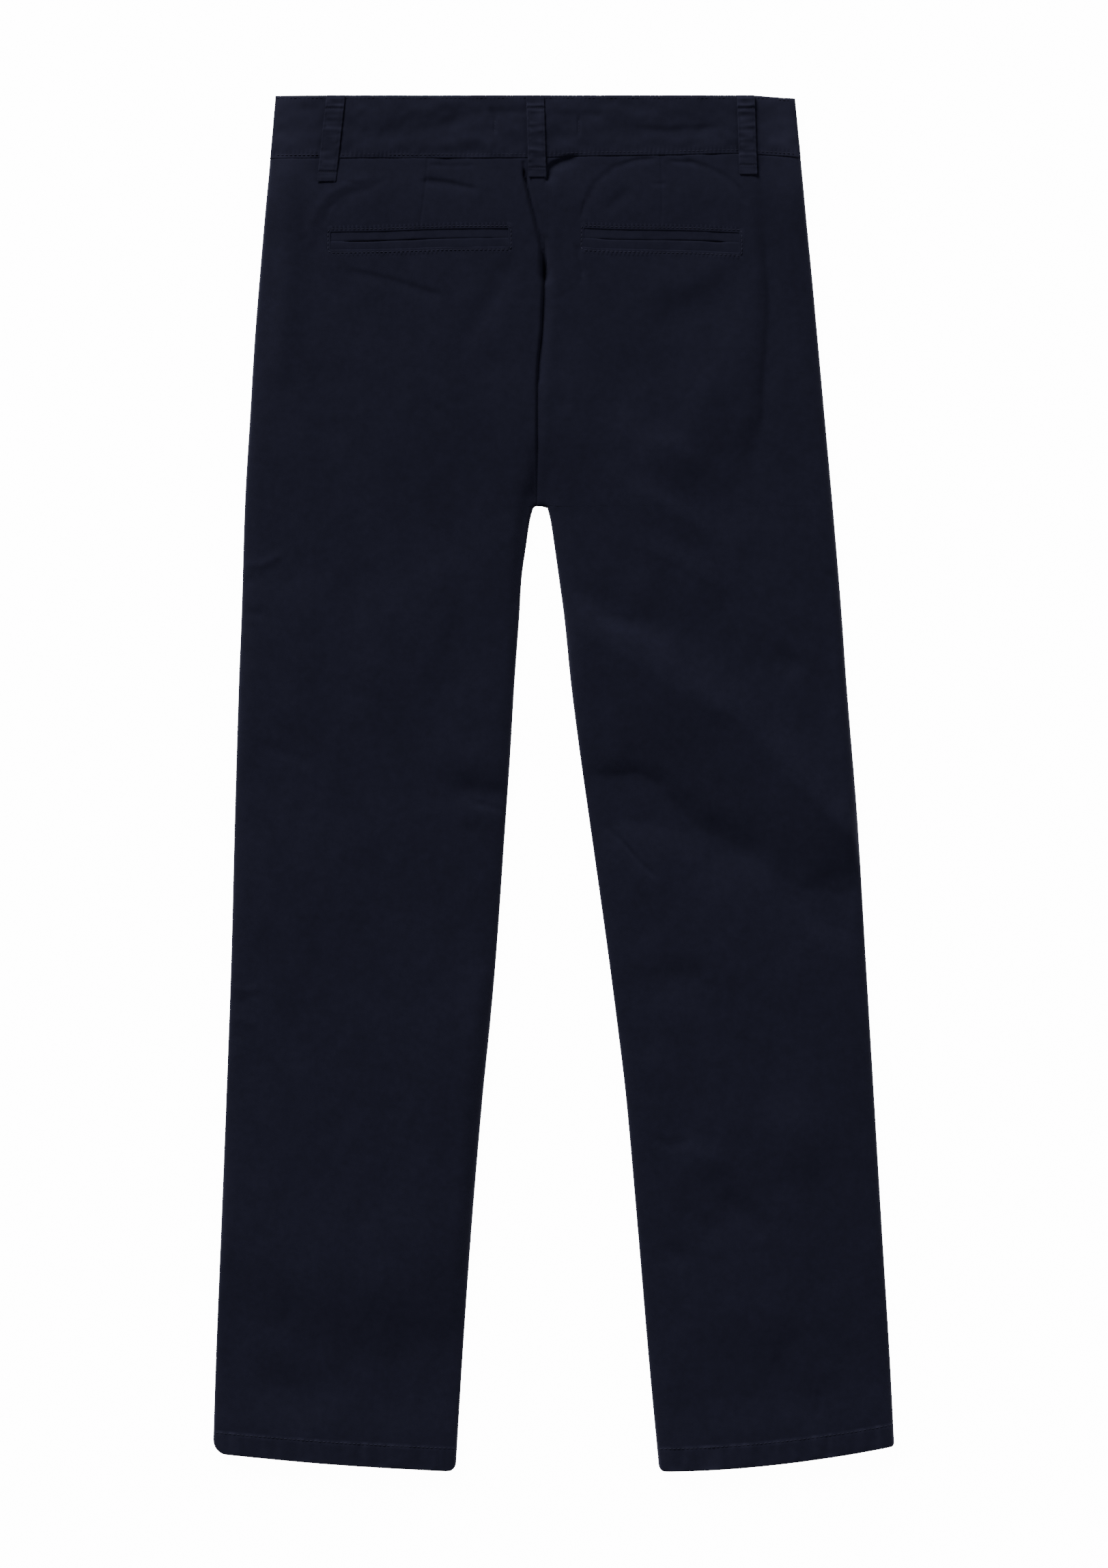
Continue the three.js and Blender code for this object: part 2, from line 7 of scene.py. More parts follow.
import logging
import math
from dataclasses import dataclass, field
from enum import Enum
from typing import Callable

import bpy
import numpy as np
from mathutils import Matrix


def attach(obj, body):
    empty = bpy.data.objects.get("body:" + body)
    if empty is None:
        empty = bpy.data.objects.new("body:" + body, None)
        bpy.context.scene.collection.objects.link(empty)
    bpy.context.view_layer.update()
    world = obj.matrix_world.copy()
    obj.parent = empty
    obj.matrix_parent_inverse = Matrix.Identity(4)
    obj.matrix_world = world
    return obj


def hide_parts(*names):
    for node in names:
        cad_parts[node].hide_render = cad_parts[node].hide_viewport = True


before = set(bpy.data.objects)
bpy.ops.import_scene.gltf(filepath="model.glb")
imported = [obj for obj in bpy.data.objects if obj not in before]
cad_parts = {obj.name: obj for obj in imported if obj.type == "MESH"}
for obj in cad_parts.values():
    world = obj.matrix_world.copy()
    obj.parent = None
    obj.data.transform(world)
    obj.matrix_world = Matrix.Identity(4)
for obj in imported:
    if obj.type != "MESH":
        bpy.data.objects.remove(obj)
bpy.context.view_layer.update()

Array = np.ndarray
Surface = Callable[[Array, Array], Array]
LOG = logging.getLogger("trousers")

MM = 0.001
TOTAL_LENGTH = 875.2
CENTRE_ACROSS = 11.37
SEAM_GAP = 0.3
BAND_DEPTH = 40.3
BAND_WALL = 1.5
FRONT_BAND_TOP = 4.0
FRONT_BAND_FOOT = 44.0
CROTCH_DROP = 261.0
HEM_TURN_UP = 14.5
HEM_EXTRA_WALL = 0.9
HEM_STEP = 1.5
HEM_RAMP = 34.0
HEM_STEP_SHARE = 0.16
EDGE_CURL = 3.6
EDGE_DOME = 26.0
CURL_SHARE = 0.28
FULL_CURL_SHARE = 0.62
CLOTH_WALL = 0.6
FRONT_CENTRE = 1.0
STITCH_PITCH = 2.75


class Table:
    """Named columns of sizes by drop, read on a smooth curve that never overshoots its rows."""

    def __init__(self, columns: tuple[str, ...], rows: tuple[tuple[float, ...], ...]) -> None:
        """Keep the rows as one array for each named column."""
        self.column = dict(zip(columns, np.array(rows, float).T))

    def at(self, name: str, drop: Array) -> Array:
        """Read a column at each drop.

        A cubic runs between two rows, and its slope at a row is the harmonic mean of the slopes on
        both sides, or level where they differ in sign.

        Args:
            name: The column's name.
            drop: Drops in millimetres.

        Returns:
            The column's value at each drop.
        """
        knots, values = self.column["drop"], self.column[name]
        span = np.diff(knots)
        rise = np.diff(values) / span
        product, total = rise[:-1] * rise[1:], rise[:-1] + rise[1:]
        middle = np.where(product > 0, 2 * product / np.where(product > 0, total, 1), 0)
        slope = np.concatenate(([rise[0]], middle, [rise[-1]]))
        drop = np.clip(drop, knots[0], knots[-1])
        here = np.clip(np.searchsorted(knots, drop, side="right") - 1, 0, len(span) - 1)
        t = (drop - knots[here]) / span[here]
        bend = t * t * (3 - 2 * t)
        start = t * (1 - t) ** 2 * span[here] * slope[here]
        stop = t * t * (t - 1) * span[here] * slope[here + 1]
        return values[here] * (1 - bend) + values[here + 1] * bend + start + stop


SIDE_EDGES = Table(("drop", "left", "right"), (
    (0, -165.6, 164.8), (41, -169.2, 168.8), (82, -173.1, 172.7), (112, -175.7, 175.7),
    (156, -179.2, 179.7), (199, -181.8, 183.6), (261, -185.4, 189.2), (330, -187.5, 194.9),
    (373, -189.2, 197.9), (460, -191.8, 204.9), (547, -194.0, 210.1), (634, -197.1, 215.3),
    (721, -200.5, 220.5), (808, -204.0, 225.8), (880, -206.2, 229.4),
))
INNER_EDGES = Table(("drop", "left", "right"), (
    (261, -1.3, 7.0), (269, -3.5, 9.1), (286, -6.1, 11.7), (308, -9.1, 14.8), (330, -10.4, 17.8),
    (373, -13.5, 22.2), (417, -16.1, 27.8), (460, -19.1, 33.9), (547, -25.2, 46.1),
    (591, -29.1, 51.8), (634, -33.5, 57.0), (721, -40.9, 64.8), (808, -47.0, 72.2), (880, -51.3, 79.0),
))
CENTRE_SEAM = Table(("drop", "across"), (
    (0, 7.0), (100, 7.4), (125, 5.2), (150, 4.4), (165, 2.2), (181, 1.3), (261, 0.8),
))
LAYERS = Table(("drop", "lift", "front_wall", "back_wall", "puff"), (
    (0, 1.5, 1.5, 1.5, 2.9), (41, 1.5, 1.5, 1.5, 3.4), (60, 1.5, 1.5, 1.8, 4.3), (100, 0, 1.6, 2.0, 5.2),
    (180, 0, 1.5, 2.0, 5.2), (261, 0, 1.2, 1.4, 5.0), (400, 0, 1.2, 1.2, 4.6), (600, 0, 1.2, 1.2, 4.2),
    (800, 0, 1.2, 1.2, 3.8), (880, 0, 1.2, 1.2, 3.2),
))


BAND_FOOT = Table(("drop", "foot"), (
    (-200, 40.2), (0, 40.2), (10, 39.8), (38, 38.9), (78, 38.4), (107, 37.7), (125, 37.3), (141, 38.0), (170, 39.8),
))
EDGE_ROLL = Table(("drop", "left", "right"), (
    (0, 0.1, 0.1), (230, 0.15, 0.3), (345, 0.2, 1.5), (465, 0.2, 1.5), (500, 0.15, 0.4), (880, 0.2, 0.3),
))


class Side(Enum):
    """The wearer's two sides, with the sign of across on each."""

    LEFT = -1
    RIGHT = 1

    @property
    def label(self) -> str:
        """The side's name in the tables and in the nodes."""
        return self.name.lower()


class Facing(Enum):
    """Which way a piece's outside looks."""

    UP = 1
    DOWN = -1


@dataclass(frozen=True)
class Hem:
    """Where a leg's hem ends, how far it bows, and how its corners are rounded."""

    outer: float
    inner: float
    bow: float
    outer_corner: float
    inner_corner: float

    @property
    def mean(self) -> float:
        """The hem's middle drop."""
        return (self.outer + self.inner) / 2


HEMS = {Side.LEFT: Hem(864.5, 874.8, 1.0, 10.5, 5.0), Side.RIGHT: Hem(859.4, 875.2, 3.2, 3.0, 4.0)}


def along_path(path: tuple[tuple[float, float], ...], across: Array, drop: Array) -> tuple[Array, Array, Array]:
    """Measure points against a path of straight stretches.

    Args:
        path: The path's (across, drop) points.
        across: Points' across, in millimetres.
        drop: Points' drop, in millimetres.

    Returns:
        Each point's distance from the path, how far along the path its nearest point lies, and its
        distance to the right of the nearest stretch's line (negative to the left), seen along it.
    """
    points = np.array(path, float)
    distance = np.full(across.shape, np.inf)
    gone, side, start_at = np.zeros(across.shape), np.zeros(across.shape), 0.0
    for start, step in zip(points[:-1], np.diff(points, axis=0)):
        size = math.hypot(*step)
        dx, dy = across - start[0], drop - start[1]
        share = np.clip((dx * step[0] + dy * step[1]) / size**2, 0, 1)
        far = np.hypot(dx - share * step[0], dy - share * step[1])
        closer = far < distance
        distance = np.where(closer, far, distance)
        gone = np.where(closer, start_at + share * size, gone)
        side = np.where(closer, (step[0] * dy - step[1] * dx) / size, side)
        start_at += size
    return distance, gone, side


@dataclass(frozen=True)
class Fold:
    """A trough (negative height) or a ridge along a path of (across, drop) points.

    Its profile falls off as exp(-(distance / width)^2). Seen along the path, the left flank has
    `width` and the right flank `other_width`, so that one flank can be steep. A long fold tapers
    towards each end that isn't open, over twice its width.
    """

    name: str
    height: float
    width: float
    path: tuple[tuple[float, float], ...]
    other_width: float | None = None
    open_start: bool = False
    open_end: bool = False
    end_scale: float = 1.0

    def relief(self, across: Array, drop: Array) -> Array:
        """Height that the fold adds at each point, in millimetres."""
        other = self.other_width or self.width
        points = np.array(self.path, float)
        reach = 3 * max(self.width, other) * max(1.0, self.end_scale)
        low, high = points.min(0) - reach, points.max(0) + reach
        near = (across > low[0]) & (across < high[0]) & (drop > low[1]) & (drop < high[1])
        relief = np.zeros(across.shape)
        if not near.any():
            return relief
        distance, gone, side = along_path(self.path, across[near], drop[near])
        length = float(np.hypot(*np.diff(points, axis=0).T).sum())
        blend = 0.5 + 0.5 * np.tanh(side / (0.25 * min(self.width, other)))
        scale = 1 + (self.end_scale - 1) * gone / length
        left, right = (np.exp(-((distance / (wide * scale)) ** 2)) for wide in (self.width, other))
        taper = min(2 * max(self.width, other), 0.45 * length)
        height = self.height * np.ones(distance.shape)
        if length > 2.5 * self.width:
            height = height if self.open_start else height * (0.1 + 0.9 * smooth(gone / taper))
            height = height if self.open_end else height * (0.1 + 0.9 * smooth((length - gone) / taper))
        relief[near] = height * (left + (right - left) * blend)
        return relief


@dataclass(frozen=True)
class Terrace:
    """A tilted plane of cloth right across a leg, between a crest line above and a crease line below.

    Between the two lines the height goes from `rise` to `fall`, as a smooth step where the terrace
    is soft, or else quickly from a sharp crest and slowly into the crease, as 1 - (1 - share)^bend.
    Above the crest it dies away as exp(-(distance / before)^2), and below the crease as
    exp(-(distance / after)^2). Both lines run from left to right, and the whole weakens towards
    their right end by `weaker`.
    """

    name: str
    side: Side
    rise: float
    fall: float
    before: float
    after: float
    crest: tuple[tuple[float, float], ...]
    crease: tuple[tuple[float, float], ...]
    bend: float = 1.5
    weaker: float = 0.0
    soft: bool = False

    def relief(self, across: Array, drop: Array) -> Array:
        """Height that the terrace adds at each point, in millimetres."""
        points = np.array(self.crest + self.crease, float)
        reach = 3 * max(self.before, self.after)
        low, high = points.min(0) - reach, points.max(0) + reach
        near = ((across - FRONT_CENTRE) * self.side.value > 0) & (drop > low[1]) & (drop < high[1])
        relief = np.zeros(across.shape)
        above, gone, past_crest = along_path(self.crest, across[near], drop[near])
        below, _, past_crease = along_path(self.crease, across[near], drop[near])
        share = above / np.maximum(above + below, 1e-6)
        share = smooth(share) if self.soft else 1 - (1 - share) ** self.bend
        height = self.rise + (self.fall - self.rise) * share
        height = np.where(past_crest < 0, self.rise * np.exp(-((above / self.before) ** 2)), height)
        height = np.where(past_crease > 0, self.fall * np.exp(-((below / self.after) ** 2)), height)
        length = float(np.hypot(*np.diff(np.array(self.crest, float), axis=0).T).sum())
        relief[near] = height * (1 - self.weaker * (gone / length) ** 2)
        return relief


def smooth(t: Array) -> Array:
    """Smooth step from 0 to 1: t squared times (3 - 2t), with t held between 0 and 1."""
    t = np.clip(t, 0, 1)
    return t * t * (3 - 2 * t)


TERRACES = (
    Terrace("right knee", Side.RIGHT, 3.6, -2.0, 18, 30,
            ((10, 334), (24, 340), (44, 351), (70, 364), (88, 378), (111, 390), (127, 396), (141, 413), (160, 433),
             (181, 455), (203, 472), (230, 490)),
            ((4, 447), (18, 447), (36, 448), (60, 444), (74, 449), (92, 458), (121, 476), (143, 489), (168, 505),
             (188, 507), (206, 504), (232, 518)), 1.1, -0.15),
    Terrace("left calf", Side.LEFT, 1.8, -1.7, 34, 34,
            ((-224, 682), (-196, 708), (-166, 738), (-129, 751), (-109, 755), (-84, 748), (-57, 734), (-20, 714)),
            ((-228, 752), (-196, 772), (-174, 786), (-151, 800), (-120, 806), (-84, 806), (-62, 806), (-20, 800)),
            soft=True),
)

LARGE_FOLDS = (
    Fold("seat ditch", -3.1, 2.6, ((5.9, 122), (4.9, 98), (1.0, 82), (-2.0, 71), (-4.8, 60), (-6.8, 51), (-7.6, 45)),
         4.0, False, False, 0.45),
    Fold("seat ditch foot", -0.95, 2.5, ((4.6, 88), (5.9, 104), (5.4, 125), (4.2, 150), (2.0, 185)), 1.4),
    Fold("seat ditch top", -0.6, 1.1, ((-7.8, 43.2), (-7.2, 50), (-6.0, 57)), 1.1, True),
    Fold("centre ditch", -1.3, 4.8, ((6.0, 102), (5.4, 125), (4.2, 150), (2.0, 168), (1.2, 182), (0.8, 262)), 1.3,
         False, True, 0.6),
    Fold("centre seam ridge", 0.2, 3.5, ((12, 62), (12, 130), (7.5, 165), (5.6, 185), (5.4, 255)), 2.6, True, True),
    Fold("left hip ridge", 1.3, 9, ((-160, 52), (-157, 98), (-159, 130), (-165, 190)), 9, True),
    Fold("right hip ridge", 0.9, 5, ((137, 52), (138.5, 90), (140, 125), (138, 160), (135, 200), (130, 236)), 13, True),
    Fold("right hip slope", -0.5, 42, ((143, 48), (144.4, 72), (145.6, 98), (147.8, 132), (145, 176), (140, 230)), 4,
         True),
    Fold("right hip line", -0.9, 9, ((145.2, 88), (145.6, 98), (147.8, 126), (147.8, 138), (146.4, 156), (144.4, 180),
                                      (144, 205), (140.4, 218)), 1.2),
    Fold("left seat valley", -0.8, 7, ((-14.8, 102), (-23.9, 124), (-38.4, 146), (-47.5, 163)), 7),
    Fold("right seat ridge", 1.2, 22, ((140, 122), (126, 160), (106, 200), (92, 236)), 12),
    Fold("right seat hollow", -1.1, 16, ((72, 150), (54, 190), (50, 226))),
    Fold("right lower dark", -1.2, 17, ((128, 200), (132, 236), (140, 262))),
    Fold("right thigh ridge 1", 2.0, 10, ((62, 216), (84, 226), (112, 246)), 28),
    Fold("right thigh ridge 2", 2.6, 10, ((50, 248), (78, 260), (116, 288)), 26),
    Fold("right thigh ridge 3", 2.6, 10, ((56, 284), (90, 298), (128, 322)), 30),
    Fold("right thigh hollow", -1.2, 12, ((34, 322), (62, 334), (90, 348)), 7, True),
    Fold("right knee crease", -2.4, 13, ((18, 451), (36, 450), (50, 447), (60, 445), (74, 450), (90, 459), (106, 468),
                                         (121, 476), (140, 484), (158, 492)), 15, True),
    Fold("right knee pit", -1.6, 12, ((42, 443), (68, 441)), 7),
    Fold("left knee wedge", -1.7, 8, ((-60, 440), (-46, 442), (-30, 444.5), (-6, 447)), 9, False, True),
    Fold("left knee crest", 0.5, 12, ((-80, 418), (-50, 420), (-8, 424)), 10, False, True),
    Fold("right seat crest", 1.0, 14, ((60, 118), (90, 121), (112, 115), (132, 104)), 12),
    Fold("right seat crease", -0.7, 9, ((72, 152), (88, 143), (108, 128), (134, 108)), 14),
    Fold("left thigh ridge", 1.5, 14, ((-150, 296), (-146, 350), (-150, 420)), 16),
    Fold("left thigh swell", 1.6, 24, ((-100, 300), (-96, 360), (-104, 420))),
    Fold("left calf swell", 1.0, 24, ((-60, 560), (-58, 620), (-66, 680))),
    Fold("right calf dent", -1.2, 10, ((86, 559), (98, 561)), 18),
    Fold("right calf ridge", 1.5, 9, ((84, 668), (104, 676), (128, 682)), 14),
    Fold("right calf outer swell", 1.9, 20, ((152, 630), (168, 664), (170, 700))),
    Fold("right ankle ridge", 1.0, 14, ((92, 762), (130, 776), (190, 770)), 20),
)

SMALL_FOLDS = (
    Fold("dart top crease", -0.35, 1.3, ((-68.5, 44.6), (-54, 45.4), (-38, 44.6))),
    Fold("dart crease", -0.75, 1.4, ((-69, 54.4), (-55, 56), (-36, 60.2)), 3.4, True),
    Fold("dart puff", 0.35, 3, ((-67, 49.5), (-60, 50.5))),
    Fold("left dart", -0.22, 0.9, ((-68.7, 41), (-70.2, 58), (-73.6, 83)), None, True, True),
    Fold("right dart", -0.22, 0.9, ((79.6, 41), (80.2, 60), (80, 81)), None, True, True),
    Fold("left bag edge", 0.42, 2.6, ((-143, 98), (-143.5, 84), (-140, 74), (-131, 63), (-118, 56), (-104, 52))),
    Fold("left bag crease", -0.34, 1.9, ((-136, 84), (-131, 72), (-121, 64), (-108, 59))),
    Fold("left bag inner crease", -0.26, 1.9, ((-128, 76), (-120, 67), (-106, 60), (-92, 52))),
    Fold("left bag lower crease", -0.35, 2.2, ((-147.5, 86), (-143, 100), (-138, 112), (-131, 124), (-125, 133)), 3),
    Fold("left loop crease", -0.35, 1.6, ((-122, 54.4), (-112, 57.5))),
    Fold("below left pocket", -0.5, 1.8, ((-122, 111), (-93, 117.5), (-78, 122), (-56, 129)), 5),
    Fold("left seat diagonal 1", -0.3, 2.4, ((-69, 172), (-56, 182)), 5),
    Fold("left seat diagonal 2", -0.3, 2.4, ((-74, 190), (-56, 207)), 5),
    Fold("left seat hollow", -0.5, 10, ((-42, 162), (-24, 172), (-8, 176))),
    Fold("left outer hollow", -1.0, 13, ((-140, 160), (-132, 200), (-134, 236)), 9),
    Fold("right top fold", -1.9, 1.6, ((7.4, 50), (8.6, 46.6), (11.2, 44.2), (17.3, 41.5), (29, 38.8)), 5.0, True),
    Fold("right bag crease", -0.5, 1.3, ((28.7, 80), (30.7, 70), (37.7, 56), (49.6, 46), (63.6, 41.4), (78, 40.2)), 2.4),
    Fold("right inner crease", -0.5, 3, ((43, 76), (50, 68), (62, 59)), 4.5),
    Fold("right outer crease", -0.5, 1.4, ((94, 41), (109, 45.9), (121, 51.9), (129.4, 59.9), (135, 70)), 2.4),
    Fold("right dart crease", -0.4, 1.0, ((73.5, 56.8), (83.6, 56.8))),
    Fold("right foot crease", -0.4, 1.4, ((85, 42.2), (100, 43.4))),
    Fold("right pocket left crease", -0.7, 1.6, ((26.3, 95), (27.5, 105), (30.4, 116)), 1.2),
    Fold("right fine diagonal", -0.12, 1.3, ((10, 132), (24, 123), (31, 115))),
    Fold("right seam hollow", -0.45, 5, ((14, 160), (17, 182), (18, 206)), 4),
    Fold("left crotch fall", -2.4, 6, ((-2, 256), (-6, 275), (-9, 300), (-11, 322)), 6, True, True, 0.5),
    Fold("left side nick ridge", 0.7, 2.6, ((-187, 298), (-175, 299), (-160, 291)), None, True),
    Fold("left side nick", -0.6, 3, ((-188, 309), (-176, 308)), None, True),
    Fold("left side hollow", -0.6, 3.4, ((-184, 329), (-170, 330)), None, True),
    Fold("left thigh valley", -0.6, 8, ((-123, 300), (-118, 340), (-111, 394))),
    Fold("left thigh inner ridge", 0.5, 9, ((-70, 286), (-60, 330), (-72, 380))),
    Fold("left above knee", -0.4, 4, ((-178, 412), (-160, 418), (-142, 426))),
    Fold("left knee fine line", 0.3, 2, ((-142, 424), (-141, 460))),
    Fold("left knee thin crease", -0.6, 1.1, ((-42, 449), (-30, 451.5), (-20, 454.5)), 2.2, False, True),
    Fold("left knee small hollow", -0.4, 4, ((-49, 463), (-35, 470))),
    Fold("left knee broad hollow", -0.9, 14, ((-120, 470), (-96, 500), (-84, 540))),
    Fold("left side lobes", 0.4, 12, ((-172, 480), (-166, 540), (-172, 600)), 8),
    Fold("right upper thigh hollow", -1.1, 13, ((112, 240), (138, 276))),
    Fold("right side patch", -1.1, 6, ((146, 352), (158, 358), (174, 368)), 9),
    Fold("right side nick", -0.5, 3, ((182, 304), (192, 308))),
    Fold("right inner dark", -0.7, 5, ((40, 332), (52, 334), (66, 340)), 5, True),
    Fold("right thin crease", -0.8, 1.3, ((34, 454.5), (44, 463.7), (56, 475.6), (66, 487), (76, 497.4)), 1.3, True),
    Fold("right lower knee line", -0.25, 4.0, ((168, 509), (180, 502), (191, 497), (206, 491)), 6, False, True),
    Fold("right knee foot ridge", 0.5, 3, ((54, 450), (66, 449.5), (76, 452))),
    Fold("right knee side lobe", 0.7, 7, ((194, 462), (202, 476)), None),
    Fold("right calf patch", -0.5, 8, ((182, 524), (200, 532))),
    Fold("right inner shade", -0.4, 8, ((66, 500), (74, 540))),
    Fold("right shin ridge", 0.6, 9, ((70, 600), (76, 622), (80, 640))),
    Fold("right shin crease", -0.5, 3.6, ((70, 662), (86, 668), (98, 664))),
    Fold("right calf dark", -0.9, 9, ((98, 712), (108, 720))),
    Fold("right outer calf dark", -0.9, 8, ((126, 706), (142, 718))),
    Fold("right calf inner dark", -0.8, 6, ((80, 729), (98, 744))),
    Fold("right hem tick", -0.6, 2.6, ((181, 822), (180, 842))),
    Fold("left ankle ridge", 0.8, 9, ((-176, 782), (-160, 800), (-146, 820))),
    Fold("left ankle hollow", -0.9, 11, ((-180, 806), (-150, 832), (-126, 838))),
    Fold("left ankle inner ridge", 0.4, 8, ((-72, 792), (-74, 826))),
    Fold("left shin inner roll", 1.0, 8, ((-33, 547), (-41.5, 634), (-49, 721), (-54, 790))),
    Fold("left shin hollow", -0.4, 9, ((-128, 642), (-104, 650))),
    Fold("left shin ripple 1", 0.5, 2.6, ((-198, 567), (-184, 569), (-174, 568)), None, True),
    Fold("left shin ripple 2", -0.5, 2.6, ((-198, 575), (-182, 577)), None, True),
    Fold("left shin ripple 3", 0.45, 2.8, ((-198, 586), (-186, 588), (-176, 592)), None, True),
    Fold("left shin ripple 4", -0.45, 3, ((-198, 597), (-186, 599)), None, True),
    Fold("left shin ripple 5", 0.4, 3.2, ((-199, 609), (-188, 611)), None, True),
)

FRONT_FOLDS = (
    Fold("left knee crease", 0.9, 5, ((-150, 448), (-110, 440), (-60, 444))),
    Fold("right knee crease", 1.0, 6, ((70, 452), (110, 462), (160, 474))),
    Fold("right knee upper crease", 0.7, 5, ((80, 420), (120, 428), (150, 440))),
    Fold("left crotch crease", 0.8, 4, ((-12, 236), (-46, 222), (-86, 214))),
    Fold("right crotch crease", 0.8, 4, ((14, 240), (50, 228), (92, 222))),
    Fold("left hip crease", 0.6, 4, ((-60, 110), (-66, 150), (-60, 190))),
    Fold("right hip crease", 0.6, 4, ((66, 116), (72, 156), (64, 198))),
    Fold("left calf crease", 0.7, 7, ((-170, 700), (-130, 720), (-80, 716))),
    Fold("right calf crease", 0.7, 7, ((100, 690), (150, 704), (200, 700))),
)


class Crumple:
    """Soft seeded noise for the cloth's small unevenness, made of lattices of random heights."""

    def __init__(self, seed: int, size: int = 96) -> None:
        """Draw the lattice of random heights between -1 and 1."""
        self.size = size
        self.lattice = np.random.default_rng(seed).uniform(-1, 1, (size, size))

    def at(self, across: Array, drop: Array, cell: float, turn: float = 0.0, stretch: float = 1.0) -> Array:
        """Read the noise, blended smoothly between the lattice's four nearest heights.

        Args:
            across: Points' across, in millimetres.
            drop: Points' drop, in millimetres.
            cell: The lattice's spacing, in millimetres.
            turn: How far the lattice is turned, in radians.
            stretch: How many times longer its cells are along their second direction.

        Returns:
            Heights from -1 to 1.
        """
        x = (across * math.cos(turn) + drop * math.sin(turn)) / cell + 500.0
        y = (drop * math.cos(turn) - across * math.sin(turn)) / (cell * stretch) + 500.0
        column, row = np.floor(x).astype(int), np.floor(y).astype(int)
        u, v = smooth(x - column), smooth(y - row)
        a = self.lattice[row % self.size, column % self.size]
        b = self.lattice[row % self.size, (column + 1) % self.size]
        c = self.lattice[(row + 1) % self.size, column % self.size]
        d = self.lattice[(row + 1) % self.size, (column + 1) % self.size]
        return (a * (1 - u) + b * u) * (1 - v) + (c * (1 - u) + d * u) * v


